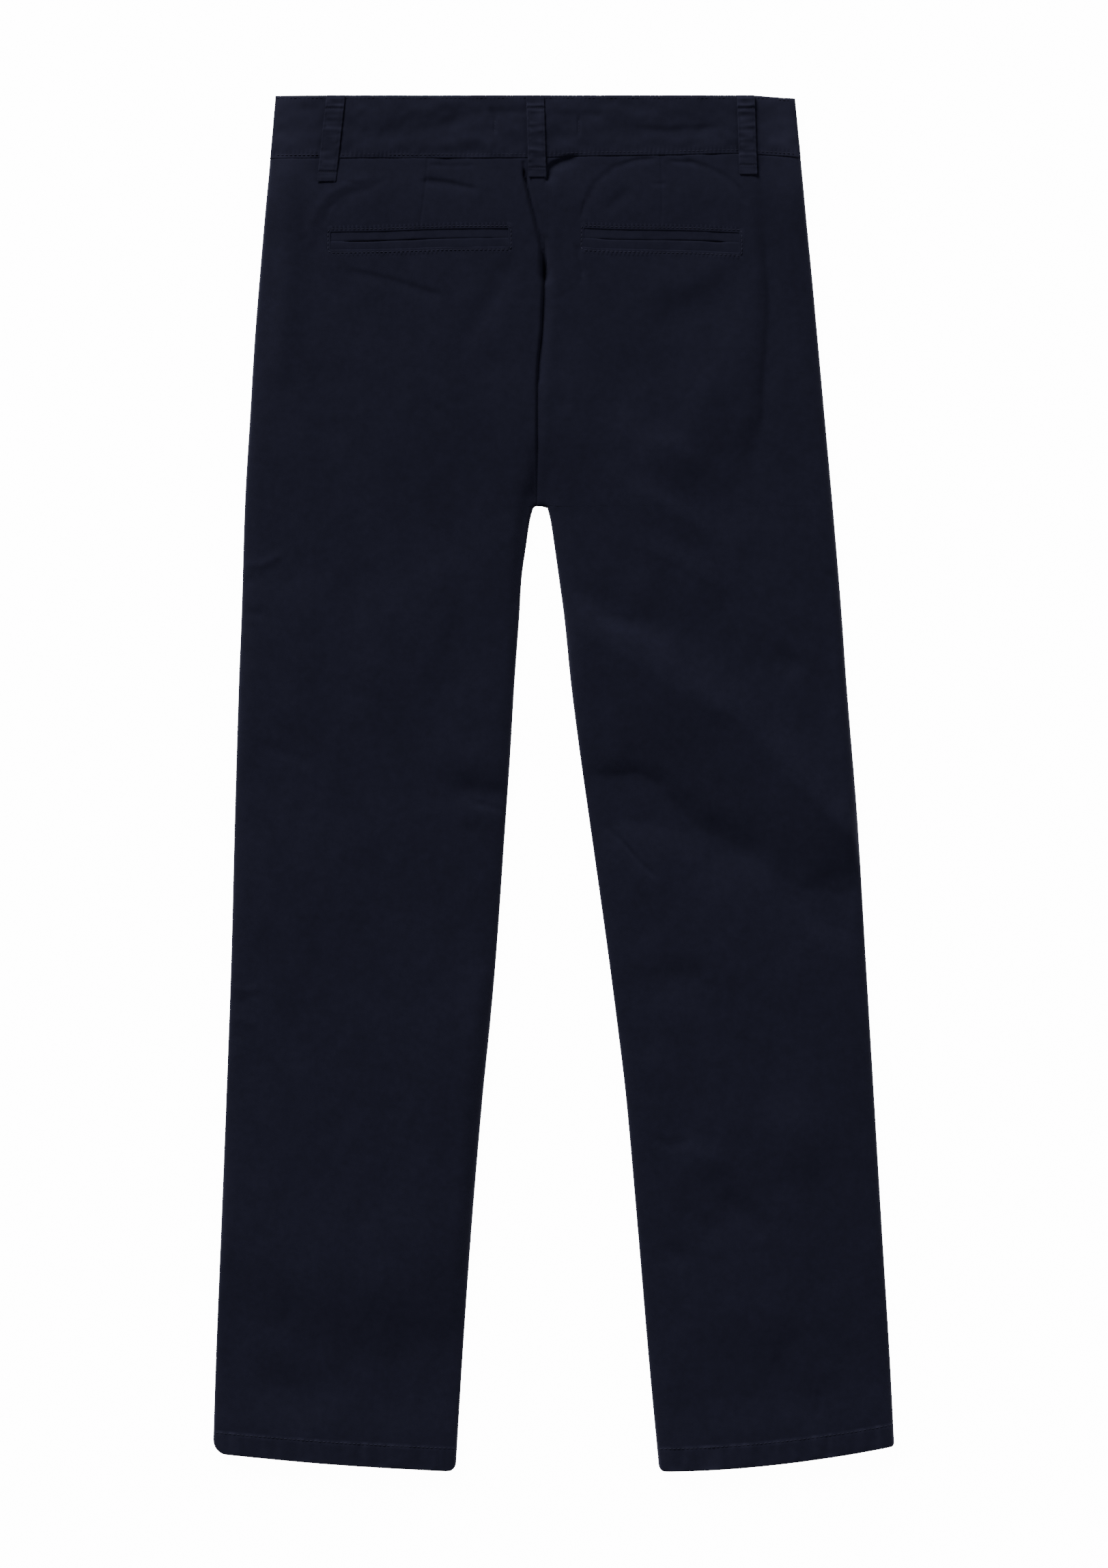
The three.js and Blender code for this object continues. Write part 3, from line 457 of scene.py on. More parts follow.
class Lay:
    """Heights of the garment's layers above the floor, as it lies."""

    def __init__(self) -> None:
        """Set up the noise that the cloth's small unevenness comes from."""
        self.broad = Crumple(11)
        self.fine = Crumple(29)

    @staticmethod
    def edge_distances(across: Array, drop: Array) -> tuple[Array, Array]:
        """Distance of each point from the nearest outer edge and from the legs' inner edges."""
        left = across - SIDE_EDGES.at("left", drop)
        right = SIDE_EDGES.at("right", drop) - across
        outer = np.maximum(np.minimum(left, right), 0)
        inner_left = INNER_EDGES.at("left", drop) - across
        inner_right = across - INNER_EDGES.at("right", drop)
        return outer, np.maximum(np.maximum(inner_left, inner_right), 0)

    @staticmethod
    def to_hem(across: Array, drop: Array) -> Array:
        """Distance of each point up from its leg's hem line."""
        away = np.full(across.shape, np.inf)
        for side, hem in HEMS.items():
            outer, inner = SIDE_EDGES.at(side.label, drop), INNER_EDGES.at(side.label, drop)
            share = np.clip((across - outer) / (inner - outer), 0, 1)
            line = hem.outer + (hem.inner - hem.outer) * share + hem.bow * 4 * share * (1 - share)
            mine = (across - FRONT_CENTRE) * side.value > 0
            away = np.where(mine & (drop > CROTCH_DROP), line - drop, away)
        return away

    def hem_extra(self, across: Array, drop: Array) -> Array:
        """Extra height of the turned-up hem: a long ramp and then a small step at its top edge."""
        above = self.to_hem(across, drop) - HEM_TURN_UP
        step, ramp = 1 - smooth(above / HEM_STEP), 1 - smooth(above / HEM_RAMP)
        return HEM_EXTRA_WALL * (ramp + (step - ramp) * HEM_STEP_SHARE)

    def front_underside(self, across: Array, drop: Array) -> Array:
        """Height of the front's outside, which the belt loops and the button hold up at the waist."""
        button = WaistButton()
        reach = np.hypot(across - button.across, drop - button.drop)
        beyond = np.maximum(reach - 9.0, 0) / 14.0
        rise = button.thickness + SEAM_GAP - 1.5
        return LAYERS.at("lift", drop) + rise * np.exp(-0.5 * beyond * beyond)

    def front_top(self, across: Array, drop: Array) -> Array:
        """Height of the front's inside."""
        wall = LAYERS.at("front_wall", drop) + self.hem_extra(across, drop)
        return self.front_underside(across, drop) + wall

    def unevenness(self, across: Array, drop: Array) -> Array:
        """Small dents and swells of worn cotton: wide soft ones, leaning ones and fine ones."""
        legs = smooth((drop - 110) / 160)
        wide = 0.85 * self.broad.at(across, drop, 44, 0.35, 1.5) * (0.4 + 0.6 * legs)
        leaning = 0.38 * self.broad.at(across + 900, drop, 18, -0.1, 2.2) * (0.6 + 0.4 * legs)
        small = 0.13 * self.fine.at(across, drop, 8.0, 0.15, 1.9)
        tiny = 0.05 * self.fine.at(across + 400, drop, 4.2, -0.3, 1.3)
        return wide + leaning + small + tiny

    def relief(self, across: Array, drop: Array) -> Array:
        """All the folds and the unevenness together."""
        total = self.unevenness(across, drop)
        for form in TERRACES + LARGE_FOLDS + SMALL_FOLDS:
            total = total + form.relief(across, drop)
        return total

    @staticmethod
    def edge_roll(across: Array, drop: Array) -> Array:
        """Low roll that the side seams' turnings make 3 mm inside the outer edges."""
        total = np.zeros(across.shape)
        for side in Side:
            inside = (SIDE_EDGES.at(side.label, drop) - across) * side.value
            total += EDGE_ROLL.at(side.label, drop) * np.exp(-(((inside - 3.0) / 7.0) ** 2))
        return total

    def back_top(self, across: Array, drop: Array) -> Array:
        """Height of the back's outside.

        It is the front's height, a gap and the back's wall, raised by the puff between the layers
        and by the folds. The puff rises from each edge as a quick curl and then a slow dome, each
        as 1 - exp(-distance / reach). The right ends of both legs' rows are fuller, with more curl.
        """
        outer, inner = self.edge_distances(across, drop)
        parted = smooth((drop - CROTCH_DROP + 50) / 55)
        right_leg = across > FRONT_CENTRE
        curls = (np.where(right_leg, FULL_CURL_SHARE, CURL_SHARE), np.where(right_leg, CURL_SHARE, FULL_CURL_SHARE))
        rise = [curl * (1 - np.exp(-d / EDGE_CURL)) + (1 - curl) * (1 - np.exp(-d / EDGE_DOME))
                for curl, d in zip(curls, (outer, inner))]
        puff = rise[0] * (1 + (rise[1] - 1) * parted)
        hold = (1 - np.exp(-outer / 5)) * (1 - np.exp(-inner / 5) * parted)
        above = LAYERS.at("puff", drop) * puff + self.relief(across, drop) * hold
        above += self.edge_roll(across, drop) * (1 - np.exp(-outer / 1.5))
        floor = self.front_top(across, drop) + SEAM_GAP
        above = np.where(above > 0.3, above, 0.3 * np.exp(np.minimum(above / 0.3 - 1, 0)))
        return floor + above + LAYERS.at("back_wall", drop) + self.hem_extra(across, drop)


def place(across: Array, drop: Array, height: Array) -> Array:
    """Put points given by across, drop and height into the frame, in metres."""
    return np.stack((across - CENTRE_ACROSS, TOTAL_LENGTH / 2 - drop, height), axis=-1) * MM


@dataclass
class Grid:
    """A grid of points with its grain and its lightening for wear and painted light, from which a sheet is made."""

    points: Array
    grain: Array
    wear: Array

    @property
    def flat_area(self) -> float:
        """Area of the sheet in square metres, laid out by its grain."""
        a, b, c, d = self.grain[:-1, :-1], self.grain[:-1, 1:], self.grain[1:, 1:], self.grain[1:, :-1]
        cross = (c[..., 0] - a[..., 0]) * (d[..., 1] - b[..., 1]) - (c[..., 1] - a[..., 1]) * (d[..., 0] - b[..., 0])
        return float(np.abs(cross).sum() / 2)

    @property
    def flat_size(self) -> tuple[float, float]:
        """Width and length of the rectangle that the flat sheet fits in."""
        spread = self.grain.reshape(-1, 2)
        return tuple(float(x) for x in spread.max(0) - spread.min(0))


def grid_faces(rows: int, columns: int, close: bool = False) -> Array:
    """Corner numbers of a grid's quads, wound so that they face up where across runs left to right.

    Args:
        rows: How many rows of points.
        columns: How many points a row has.
        close: Whether the last column joins the first, as round a tube.

    Returns:
        One row of four corner numbers for each quad.
    """
    wide = columns if close else columns - 1
    row, column = np.meshgrid(np.arange(rows - 1), np.arange(wide), indexing="ij")
    after = (column + 1) % columns
    a, b = row * columns + column, row * columns + after
    c, d = (row + 1) * columns + after, (row + 1) * columns + column
    return np.stack((a, d, c, b), axis=-1).reshape(-1, 4)


def new_mesh(name: str, points: Array, quads: Array, grain: Array | None = None, wear: Array | None = None,
             caps: Array | None = None) -> bpy.types.Object:
    """Make a smooth mesh object from whole arrays.

    Args:
        name: The object's name.
        points: One row of coordinates for each point, in metres.
        quads: Corner numbers of the four-sided faces.
        grain: The cloth's own coordinates at each point, in metres.
        wear: How much the surface is lightened at each point, from 0 to 1, for wear and for painted highlights and
            shades.
        caps: Corner numbers of three-sided faces, if any.

    Returns:
        The new object, linked to the scene.
    """
    caps = np.zeros((0, 3), int) if caps is None else caps
    mesh = bpy.data.meshes.new(name)
    mesh.vertices.add(len(points))
    mesh.vertices.foreach_set("co", np.ascontiguousarray(points, dtype=np.float32).ravel())
    corners = np.concatenate((quads.ravel(), caps.ravel())).astype(np.int32)
    starts = np.concatenate((np.arange(len(quads)) * 4, len(quads) * 4 + np.arange(len(caps)) * 3))
    mesh.loops.add(len(corners))
    mesh.loops.foreach_set("vertex_index", corners)
    mesh.polygons.add(len(starts))
    mesh.polygons.foreach_set("loop_start", starts.astype(np.int32))
    mesh.polygons.foreach_set("use_smooth", np.ones(len(starts), bool))
    if grain is not None:
        layer = mesh.uv_layers.new(name="grain")
        layer.data.foreach_set("uv", grain.reshape(-1, 2)[corners].astype(np.float32).ravel())
    if wear is not None:
        attribute = mesh.attributes.new("wear", "FLOAT", "POINT")
        attribute.data.foreach_set("value", wear.ravel().astype(np.float32))
    mesh.update()
    mesh.validate()
    piece = bpy.data.objects.new(name, mesh)
    bpy.context.scene.collection.objects.link(piece)
    return piece


def dress(piece: bpy.types.Object, material: bpy.types.Material, slot: str, *nodes: str) -> bpy.types.Object:
    """Give a piece its material, let it ride on the garment and stand for its nodes."""
    piece.data.materials.append(material)
    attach(piece, "root")
    if nodes:
        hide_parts(*nodes)
    LOG.info("%s: %d faces", piece.name, len(piece.data.polygons))
    return piece


def kept(count: int, every: int, dense: tuple[tuple[int, int], ...] = ()) -> Array:
    """Numbers of the lines kept for a coarse grid: every so many, and all within the dense runs."""
    lines = set(range(0, count, every)) | {count - 1}
    for first, last in dense:
        lines |= set(range(max(first, 0), min(last, count)))
    return np.array(sorted(lines))


def rim_faces(outside: Array, inside: Array, marks: Array) -> Array:
    """Triangles between a fine edge and a coarse one.

    Each fine stretch joins the coarse corner that it starts after, and each coarse stretch joins
    the fine corner that it ends at.

    Args:
        outside: Point numbers along the fine edge.
        inside: Point numbers along the coarse edge.
        marks: Which fine corner each coarse corner stands at.

    Returns:
        One row of three corner numbers for each triangle.
    """
    fine = np.arange(len(outside) - 1)
    apex = np.searchsorted(marks, fine, side="right") - 1
    first = np.stack((outside[fine], outside[fine + 1], inside[apex]), -1)
    coarse = np.arange(len(marks) - 1)
    second = np.stack((inside[coarse + 1], inside[coarse], outside[marks[coarse + 1]]), -1)
    return np.concatenate((first, second))


def shell(name: str, grid: Grid, facing: Facing, wall: float, dense_rows: tuple[tuple[int, int], ...]
          ) -> bpy.types.Object:
    """Make a closed thin shell: a fine outside, and a coarser inside one wall deeper along its normals.

    Args:
        name: The object's name.
        grid: The outside.
        facing: Which way the outside looks.
        wall: The cloth's thickness, in millimetres.
        dense_rows: Runs of rows that the inside keeps whole, such as at the hem's fold.

    Returns:
        The new object.
    """
    rows, columns = grid.points.shape[:2]
    row_marks, column_marks = kept(rows, 3, dense_rows), kept(columns, 3)
    down, right = np.gradient(grid.points, axis=0), np.gradient(grid.points, axis=1)
    normal = np.cross(down, right)
    normal /= np.maximum(np.linalg.norm(normal, axis=-1, keepdims=True), 1e-12)
    pick = np.ix_(row_marks, column_marks)
    below = grid.points[pick] - facing.value * normal[pick] * wall * MM
    numbers = np.arange(rows * columns).reshape(rows, columns)
    under = rows * columns + np.arange(below.shape[0] * below.shape[1]).reshape(below.shape[:2])
    quads = np.concatenate((grid_faces(rows, columns),
                            grid_faces(*below.shape[:2])[:, ::-1] + rows * columns))
    rims = np.concatenate((
        rim_faces(numbers[0], under[0], column_marks), rim_faces(numbers[-1], under[-1], column_marks)[:, ::-1],
        rim_faces(numbers[:, 0], under[:, 0], row_marks)[:, ::-1],
        rim_faces(numbers[:, -1], under[:, -1], row_marks)))
    if facing is Facing.DOWN:
        quads, rims = quads[:, ::-1], rims[:, ::-1]
    points = np.concatenate((grid.points.reshape(-1, 3), below.reshape(-1, 3)))
    grain = np.concatenate((grid.grain.reshape(-1, 2), grid.grain[pick].reshape(-1, 2)))
    wear = np.concatenate((grid.wear.ravel(), grid.wear[pick].ravel()))
    return new_mesh(name, points, quads, grain, wear, rims)


def tube(name: str, rings: Array, grain: Array, wear: Array) -> bpy.types.Object:
    """Make a closed body from rings of points, each end closed by a fan round its centre.

    The rings run clockwise seen from the end that they start at.
    """
    count, around = rings.shape[:2]
    quads = grid_faces(count, around, close=True)[:, ::-1]
    centres = rings[[0, -1]].mean(1)
    points = np.concatenate((rings.reshape(-1, 3), centres))
    first, last = np.arange(around), (count - 1) * around + np.arange(around)
    start = np.stack((np.full(around, count * around), np.roll(first, -1), first), axis=-1)
    stop = np.stack((np.full(around, count * around + 1), last, np.roll(last, -1)), axis=-1)
    grain_all = np.concatenate((grain.reshape(-1, 2), grain[[0, -1]].mean(1)))
    wear_and_light_all = np.concatenate((wear.ravel(), wear[[0, -1]].mean(1)))
    return new_mesh(name, points, quads, grain_all, wear_and_light_all, np.concatenate((start, stop)))


def rounding(distance: Array, radius: float) -> Array:
    """Rise of a quarter circle from 0 at an edge to 1 at the radius away from it."""
    t = np.clip(distance / radius, 0, 1)
    return np.sqrt(np.maximum(1 - (1 - t) ** 2, 0))


def lerp(start: Array, stop: Array, share: Array) -> Array:
    """Blend from start to stop."""
    return start + (stop - start) * share


# Shader node groups, each built once and shared by the materials that use it.
def group_tree(name: str, inputs: dict[str, tuple[str, float]], outputs: dict[str, str]) -> bpy.types.NodeTree:
    """Start a shader node group with named inputs and outputs.

    Args:
        name: The group's name.
        inputs: Socket type and default for each input's name.
        outputs: Socket type for each output's name.

    Returns:
        The empty group with its input and output nodes.
    """
    tree = bpy.data.node_groups.new(name, "ShaderNodeTree")
    for label, (kind, default) in inputs.items():
        socket = tree.interface.new_socket(label, in_out="INPUT", socket_type=kind)
        if kind == "NodeSocketFloat":
            socket.default_value = default
    for label, kind in outputs.items():
        tree.interface.new_socket(label, in_out="OUTPUT", socket_type=kind)
    tree.nodes.new("NodeGroupInput").name = "in"
    tree.nodes.new("NodeGroupOutput").name = "out"
    return tree


@dataclass
class Wiring:
    """Short calls that add nodes to a tree and link them."""

    tree: bpy.types.NodeTree

    def node(self, kind: str, **settings: object) -> bpy.types.Node:
        """Add a node and set its properties."""
        made = self.tree.nodes.new(kind)
        for key, value in settings.items():
            setattr(made, key, value)
        return made

    def link(self, source: bpy.types.NodeSocket, target: bpy.types.NodeSocket) -> None:
        """Link two sockets."""
        self.tree.links.new(source, target)

    def math(self, operation: str, first: object, second: object = None, clamp: bool = False) -> bpy.types.NodeSocket:
        """Add a math node on sockets or plain numbers and return its output."""
        made = self.node("ShaderNodeMath", operation=operation, use_clamp=clamp)
        for socket, value in zip(made.inputs, (first, second)):
            if isinstance(value, bpy.types.NodeSocket):
                self.link(value, socket)
            elif value is not None:
                socket.default_value = value
        return made.outputs[0]

    def noise(self, vector: bpy.types.NodeSocket, scale: float, detail: float, rough: float) -> bpy.types.NodeSocket:
        """Add a noise texture and return its value."""
        made = self.node("ShaderNodeTexNoise")
        made.inputs["Scale"].default_value = scale
        made.inputs["Detail"].default_value = detail
        made.inputs["Roughness"].default_value = rough
        self.link(vector, made.inputs["Vector"])
        return made.outputs["Fac"]

    def mix(self, factor: object, first: object, second: object) -> bpy.types.NodeSocket:
        """Mix two colours, each a socket or a plain colour, and return the result."""
        made = self.node("ShaderNodeMix", data_type="RGBA")
        for socket, value in ((made.inputs[0], factor), (made.inputs[6], first), (made.inputs[7], second)):
            if isinstance(value, bpy.types.NodeSocket):
                self.link(value, socket)
            else:
                socket.default_value = value
        return made.outputs[2]


def twill_group() -> bpy.types.NodeTree:
    """Twill weave: diagonal ribs one yarn pitch apart, broken by the crossing yarns.

    The rib is the sine of across plus along, and the break is the sine of twice along less across.
    """
    tree = group_tree("twill weave", {"Grain": ("NodeSocketVector", 0), "Pitch": ("NodeSocketFloat", 0.0007)},
                      {"Height": "NodeSocketFloat"})
    w = Wiring(tree)
    source, sink = tree.nodes["in"], tree.nodes["out"]
    parts = w.node("ShaderNodeSeparateXYZ")
    w.link(source.outputs["Grain"], parts.inputs[0])
    turn = w.math("DIVIDE", 2 * math.pi, source.outputs["Pitch"])
    x, y = w.math("MULTIPLY", parts.outputs[0], turn), w.math("MULTIPLY", parts.outputs[1], turn)
    rib = w.math("SINE", w.math("ADD", x, w.math("MULTIPLY", y, 0.62)))
    cross = w.math("SINE", w.math("SUBTRACT", w.math("MULTIPLY", y, 1.9), w.math("MULTIPLY", x, 0.8)))
    height = w.math("ADD", w.math("MULTIPLY", rib, 0.36), w.math("MULTIPLY", cross, 0.14))
    w.link(w.math("ADD", height, 0.5), sink.inputs["Height"])
    return tree


def mottle_group() -> bpy.types.NodeTree:
    """Unevenness of the dye and nap: wide clouds, small flecks and a fine fuzz."""
    tree = group_tree("dye and nap", {"Place": ("NodeSocketVector", 0)},
                      {"Tone": "NodeSocketFloat", "Fuzz": "NodeSocketFloat"})
    w = Wiring(tree)
    source, sink = tree.nodes["in"], tree.nodes["out"]
    wide = w.noise(source.outputs["Place"], 60, 4, 0.65)
    small = w.noise(source.outputs["Place"], 240, 3, 0.6)
    fuzz = w.noise(source.outputs["Place"], 1500, 2, 0.6)
    tone = w.math("ADD", w.math("MULTIPLY", wide, 0.55), w.math("MULTIPLY", small, 0.45))
    w.link(tone, sink.inputs["Tone"])
    w.link(w.math("ADD", w.math("MULTIPLY", fuzz, 0.6), w.math("MULTIPLY", small, 0.4)), sink.inputs["Fuzz"])
    return tree


@dataclass(frozen=True)
class ClothFinish:
    """Dyed cotton: a dark tone, a lighter tone for wear and painted light, and a weave of a given pitch."""

    name: str
    deep: tuple[float, float, float]
    light: tuple[float, float, float]
    worn_and_lit: tuple[float, float, float]
    pitch: float = 0.0008
    weave_height: float = 0.00006
    sheen: float = 0.06
    specular: float = 0.06

    def material(self) -> bpy.types.Material:
        """Build the cloth's material from the shared weave and dye groups."""
        made = bpy.data.materials.new(self.name)
        made.use_nodes = True
        w = Wiring(made.node_tree)
        shader = made.node_tree.nodes["Principled BSDF"]
        place_node = w.node("ShaderNodeTexCoord")
        grain = w.node("ShaderNodeUVMap", uv_map="grain")
        wear = w.node("ShaderNodeAttribute", attribute_name="wear")
        dye = w.node("ShaderNodeGroup", node_tree=shared_group("dye and nap", mottle_group))
        w.link(place_node.outputs["Object"], dye.inputs["Place"])
        weave = w.node("ShaderNodeGroup", node_tree=shared_group("twill weave", twill_group))
        w.link(grain.outputs["UV"], weave.inputs["Grain"])
        weave.inputs["Pitch"].default_value = self.pitch
        tone = w.math("MULTIPLY_ADD", dye.outputs["Tone"], 1.6)
        tone.node.inputs[2].default_value = -0.3
        dyed = w.mix(tone, (*self.deep, 1), (*self.light, 1))
        ribbed = w.mix(w.math("MULTIPLY", weave.outputs["Height"], 0.25), dyed, (*self.light, 1))
        # The wear attribute mixes in the lighter tone: real wear, and painted highlights and shades where a piece sets
        # it from its relief or its rims.
        w.link(w.mix(w.math("MULTIPLY", wear.outputs["Fac"], 0.9, True), ribbed, (*self.worn_and_lit, 1)),
               shader.inputs["Base Color"])
        rough = w.math("MULTIPLY_ADD", dye.outputs["Fuzz"], 0.12)
        rough.node.inputs[2].default_value = 0.82
        w.link(rough, shader.inputs["Roughness"])
        bump = w.node("ShaderNodeBump")
        bump.inputs["Strength"].default_value = 0.7
        bump.inputs["Distance"].default_value = self.weave_height
        raised = w.math("ADD", weave.outputs["Height"], w.math("MULTIPLY", dye.outputs["Fuzz"], 0.8))
        w.link(raised, bump.inputs["Height"])
        w.link(bump.outputs["Normal"], shader.inputs["Normal"])
        shader.inputs["Specular IOR Level"].default_value = self.specular
        shader.inputs["Sheen Weight"].default_value = self.sheen
        shader.inputs["Sheen Roughness"].default_value = 0.45
        shader.inputs["Sheen Tint"].default_value = (0.62, 0.6, 0.95, 1)
        return made


@dataclass(frozen=True)
class HardFinish:
    """Moulded button or painted metal, with a faint cloudiness and fine scratches."""

    name: str
    colour: tuple[float, float, float]
    roughness: float
    specular: float = 0.4

    def material(self) -> bpy.types.Material:
        """Build the hard finish from the shared dye group."""
        made = bpy.data.materials.new(self.name)
        made.use_nodes = True
        w = Wiring(made.node_tree)
        shader = made.node_tree.nodes["Principled BSDF"]
        place_node = w.node("ShaderNodeTexCoord")
        dye = w.node("ShaderNodeGroup", node_tree=shared_group("dye and nap", mottle_group))
        w.link(place_node.outputs["Object"], dye.inputs["Place"])
        lighter = tuple(min(1.0, c * 1.7) for c in self.colour)
        w.link(w.mix(dye.outputs["Tone"], (*self.colour, 1), (*lighter, 1)), shader.inputs["Base Color"])
        rough = w.math("MULTIPLY_ADD", dye.outputs["Fuzz"], 0.15)
        rough.node.inputs[2].default_value = self.roughness
        w.link(rough, shader.inputs["Roughness"])
        shader.inputs["Specular IOR Level"].default_value = self.specular
        return made


def shared_group(name: str, build: Callable[[], bpy.types.NodeTree]) -> bpy.types.NodeTree:
    """Find a node group by name, or build it the first time it is asked for."""
    return bpy.data.node_groups.get(name) or build()


TWILL = ClothFinish("navy twill", (0.0053, 0.0055, 0.0117), (0.0097, 0.0099, 0.0206), (0.021, 0.021, 0.039))
LOOP_TWILL = ClothFinish("navy loop twill", (0.0056, 0.0058, 0.0120), (0.0100, 0.0102, 0.0208), (0.021, 0.021, 0.039))
THREAD = ClothFinish("navy thread", (0.0085, 0.0087, 0.0172), (0.0160, 0.0162, 0.0312), (0.024, 0.024, 0.044),
                     0.0004, 0.00004, 0.12, 0.12)
BUTTON = HardFinish("dark button", (0.014, 0.013, 0.018), 0.28)
ZIP = ClothFinish("zip tape", (0.008, 0.008, 0.016), (0.013, 0.013, 0.024), (0.022, 0.022, 0.04), 0.0006)


@dataclass
class PanelShape:
    """Rows and columns of a leg panel, with its hem folded up inside."""

    side: Side
    top: float
    row_step: float = 1.75
    column_step: float = 1.55
    seat_step: float = 1.15
    fold_radius: float = 0.75
    turned_inset: float = 2.6
    dense: tuple[float, ...] = (0, 0.15, 0.5, 1.0, 1.6, 2.4, 3.4, 4.6, 6.0)

    def seat_drops(self) -> Array:
        """Drops of the seat's rows, close together under the waistband, in the seat and at the crotch."""
        close = np.arange(self.top, self.top + 6.8, 0.45)
        seat = np.arange(close[-1] + 0.8, 150, self.seat_step)
        run = np.arange(seat[-1] + self.row_step, CROTCH_DROP - 0.6, self.row_step)
        return np.concatenate((close, seat, run, [CROTCH_DROP - 0.3, CROTCH_DROP]))

    def leg_hems(self) -> tuple[Array, Array, Array]:
        """Distance up from the hem of the leg's rows, how far each lies under the outside, and its inset."""
        length = HEMS[self.side].mean - CROTCH_DROP
        start = length - np.array([0.25, 0.6, 1.1, 1.8, 2.7])
        run = np.arange(start[-1] - self.row_step, HEM_TURN_UP + 4, -self.row_step)
        hem = np.concatenate((np.linspace(HEM_TURN_UP + 3, HEM_TURN_UP - 2.5, 12), np.arange(10.6, 2, -1.4)))
        turn = np.linspace(0, math.pi, 9)
        fold = self.fold_radius * (1 - np.sin(turn))
        inside = np.array([2.0, 4.5, 7.5, 10.5, 13, HEM_TURN_UP])
        up = np.concatenate((start, run, hem, [1.4], fold, inside))
        plain = len(start) + len(run) + len(hem) + 1
        under = np.concatenate((np.zeros(plain), self.fold_radius * (1 - np.cos(turn)),
                                np.full(len(inside), 2 * self.fold_radius)))
        inset = self.turned_inset * smooth(under / (2 * self.fold_radius))
        return up, under, inset

    def shares(self, extra: tuple[float, ...] = ()) -> Array:
        """Shares of the row's width from the outer to the inner end, close together at both ends."""
        width = 172.0
        dense = np.array(self.dense)
        run = np.arange(dense[-1] + self.column_step, width - dense[-1] - 1, self.column_step)
        across = np.concatenate((dense, run, width - dense[::-1]))
        return np.unique(np.round(np.concatenate((across / width, extra)), 5))


@dataclass
class SheetRows:
    """The ends of a sheet's rows and what is done to each row."""

    outer: Array
    inner: Array
    bow: Array
    under: Array
    inset: Array
    grain_along: Array


def panel_rows(shape: PanelShape, outer_at: Callable[[Array], Array], inner_at: Callable[[Array], Array]) -> SheetRows:
    """Find where a panel's rows start and stop, from its top seam to its turned-up hem.

    Args:
        shape: The panel's rows and columns.
        outer_at: The seat's outer edge by drop.
        inner_at: The seat's inner edge by drop.

    Returns:
        The rows' ends, bow, depth under the outside and inset.
    """
    side, hem = shape.side, HEMS[shape.side]
    seat = shape.seat_drops()
    up, under, inset = shape.leg_hems()
    fraction = 1 - up / (hem.mean - CROTCH_DROP)
    outer_drop = CROTCH_DROP + (hem.outer - CROTCH_DROP) * fraction
    inner_drop = CROTCH_DROP + (hem.inner - CROTCH_DROP) * fraction

    def corner(radius: float) -> Array:
        short = np.clip(radius - up, 0, radius)
        return radius - np.sqrt(radius**2 - short**2)

    outer_across = SIDE_EDGES.at(side.label, outer_drop) - side.value * (corner(hem.outer_corner) + inset)
    inner_across = INNER_EDGES.at(side.label, inner_drop) + side.value * (corner(hem.inner_corner) + inset)
    blank = np.zeros(len(seat))
    turned = under > shape.fold_radius
    along = hem.mean - np.where(turned, -up, up)
    return SheetRows(
        outer=np.concatenate((np.stack((outer_at(seat), seat), -1), np.stack((outer_across, outer_drop), -1))),
        inner=np.concatenate((np.stack((inner_at(seat), seat), -1), np.stack((inner_across, inner_drop), -1))),
        bow=np.concatenate((blank, hem.bow * fraction**4)),
        under=np.concatenate((blank, under)),
        inset=np.concatenate((blank, inset)),
        grain_along=np.concatenate((seat, along)),
    )


def spread(rows: SheetRows, shares: Array, side: Side) -> tuple[Array, Array, Array]:
    """Spread a panel's points between the ends of its rows, from left to right.

    Returns:
        Across, drop and the grain's coordinates at each point, in millimetres.
    """
    shares = shares if side is Side.LEFT else shares[::-1]
    outer, inner = rows.outer[:, None, :], rows.inner[:, None, :]
    share = shares[None, :]
    across = lerp(outer[..., 0], inner[..., 0], share)
    drop = lerp(outer[..., 1], inner[..., 1], share) + rows.bow[:, None] * 4 * share * (1 - share)
    middle = (outer[..., 0] + inner[..., 0]) / 2
    grain = np.stack((across - middle, rows.grain_along[:, None] + 0 * across), axis=-1)
    return across, drop, grain


@dataclass
class PocketPlan:
    """A back pocket's opening: the across of its ends, and the drops of its three lines at each end."""

    side: Side
    start: float
    stop: float
    top: tuple[float, float]
    slit: tuple[float, float]
    foot: tuple[float, float]

    def line(self, ends: tuple[float, float], across: Array) -> Array:
        """Drop along one of the opening's lines, with a slight wave."""
        share = (across - self.start) / (self.stop - self.start)
        return lerp(ends[0], ends[1], share) + 0.3 * np.sin(share * 7.0)

    def inside(self, across: Array, drop: Array) -> Array:
        """How far each point lies inside the opening, negative outside it."""
        sides = (drop - self.line(self.top, across), self.line(self.foot, across) - drop,
                 across - self.start, self.stop - across)
        return np.minimum.reduce(sides)


POCKETS = (
    PocketPlan(Side.LEFT, -130.6, -17.2, (87.0, 84.6), (93.3, 90.8), (98.7, 96.6)),
    PocketPlan(Side.RIGHT, 30.4, 129.4, (84.6, 87.4), (91.2, 93.8), (97.2, 100.6)),
)


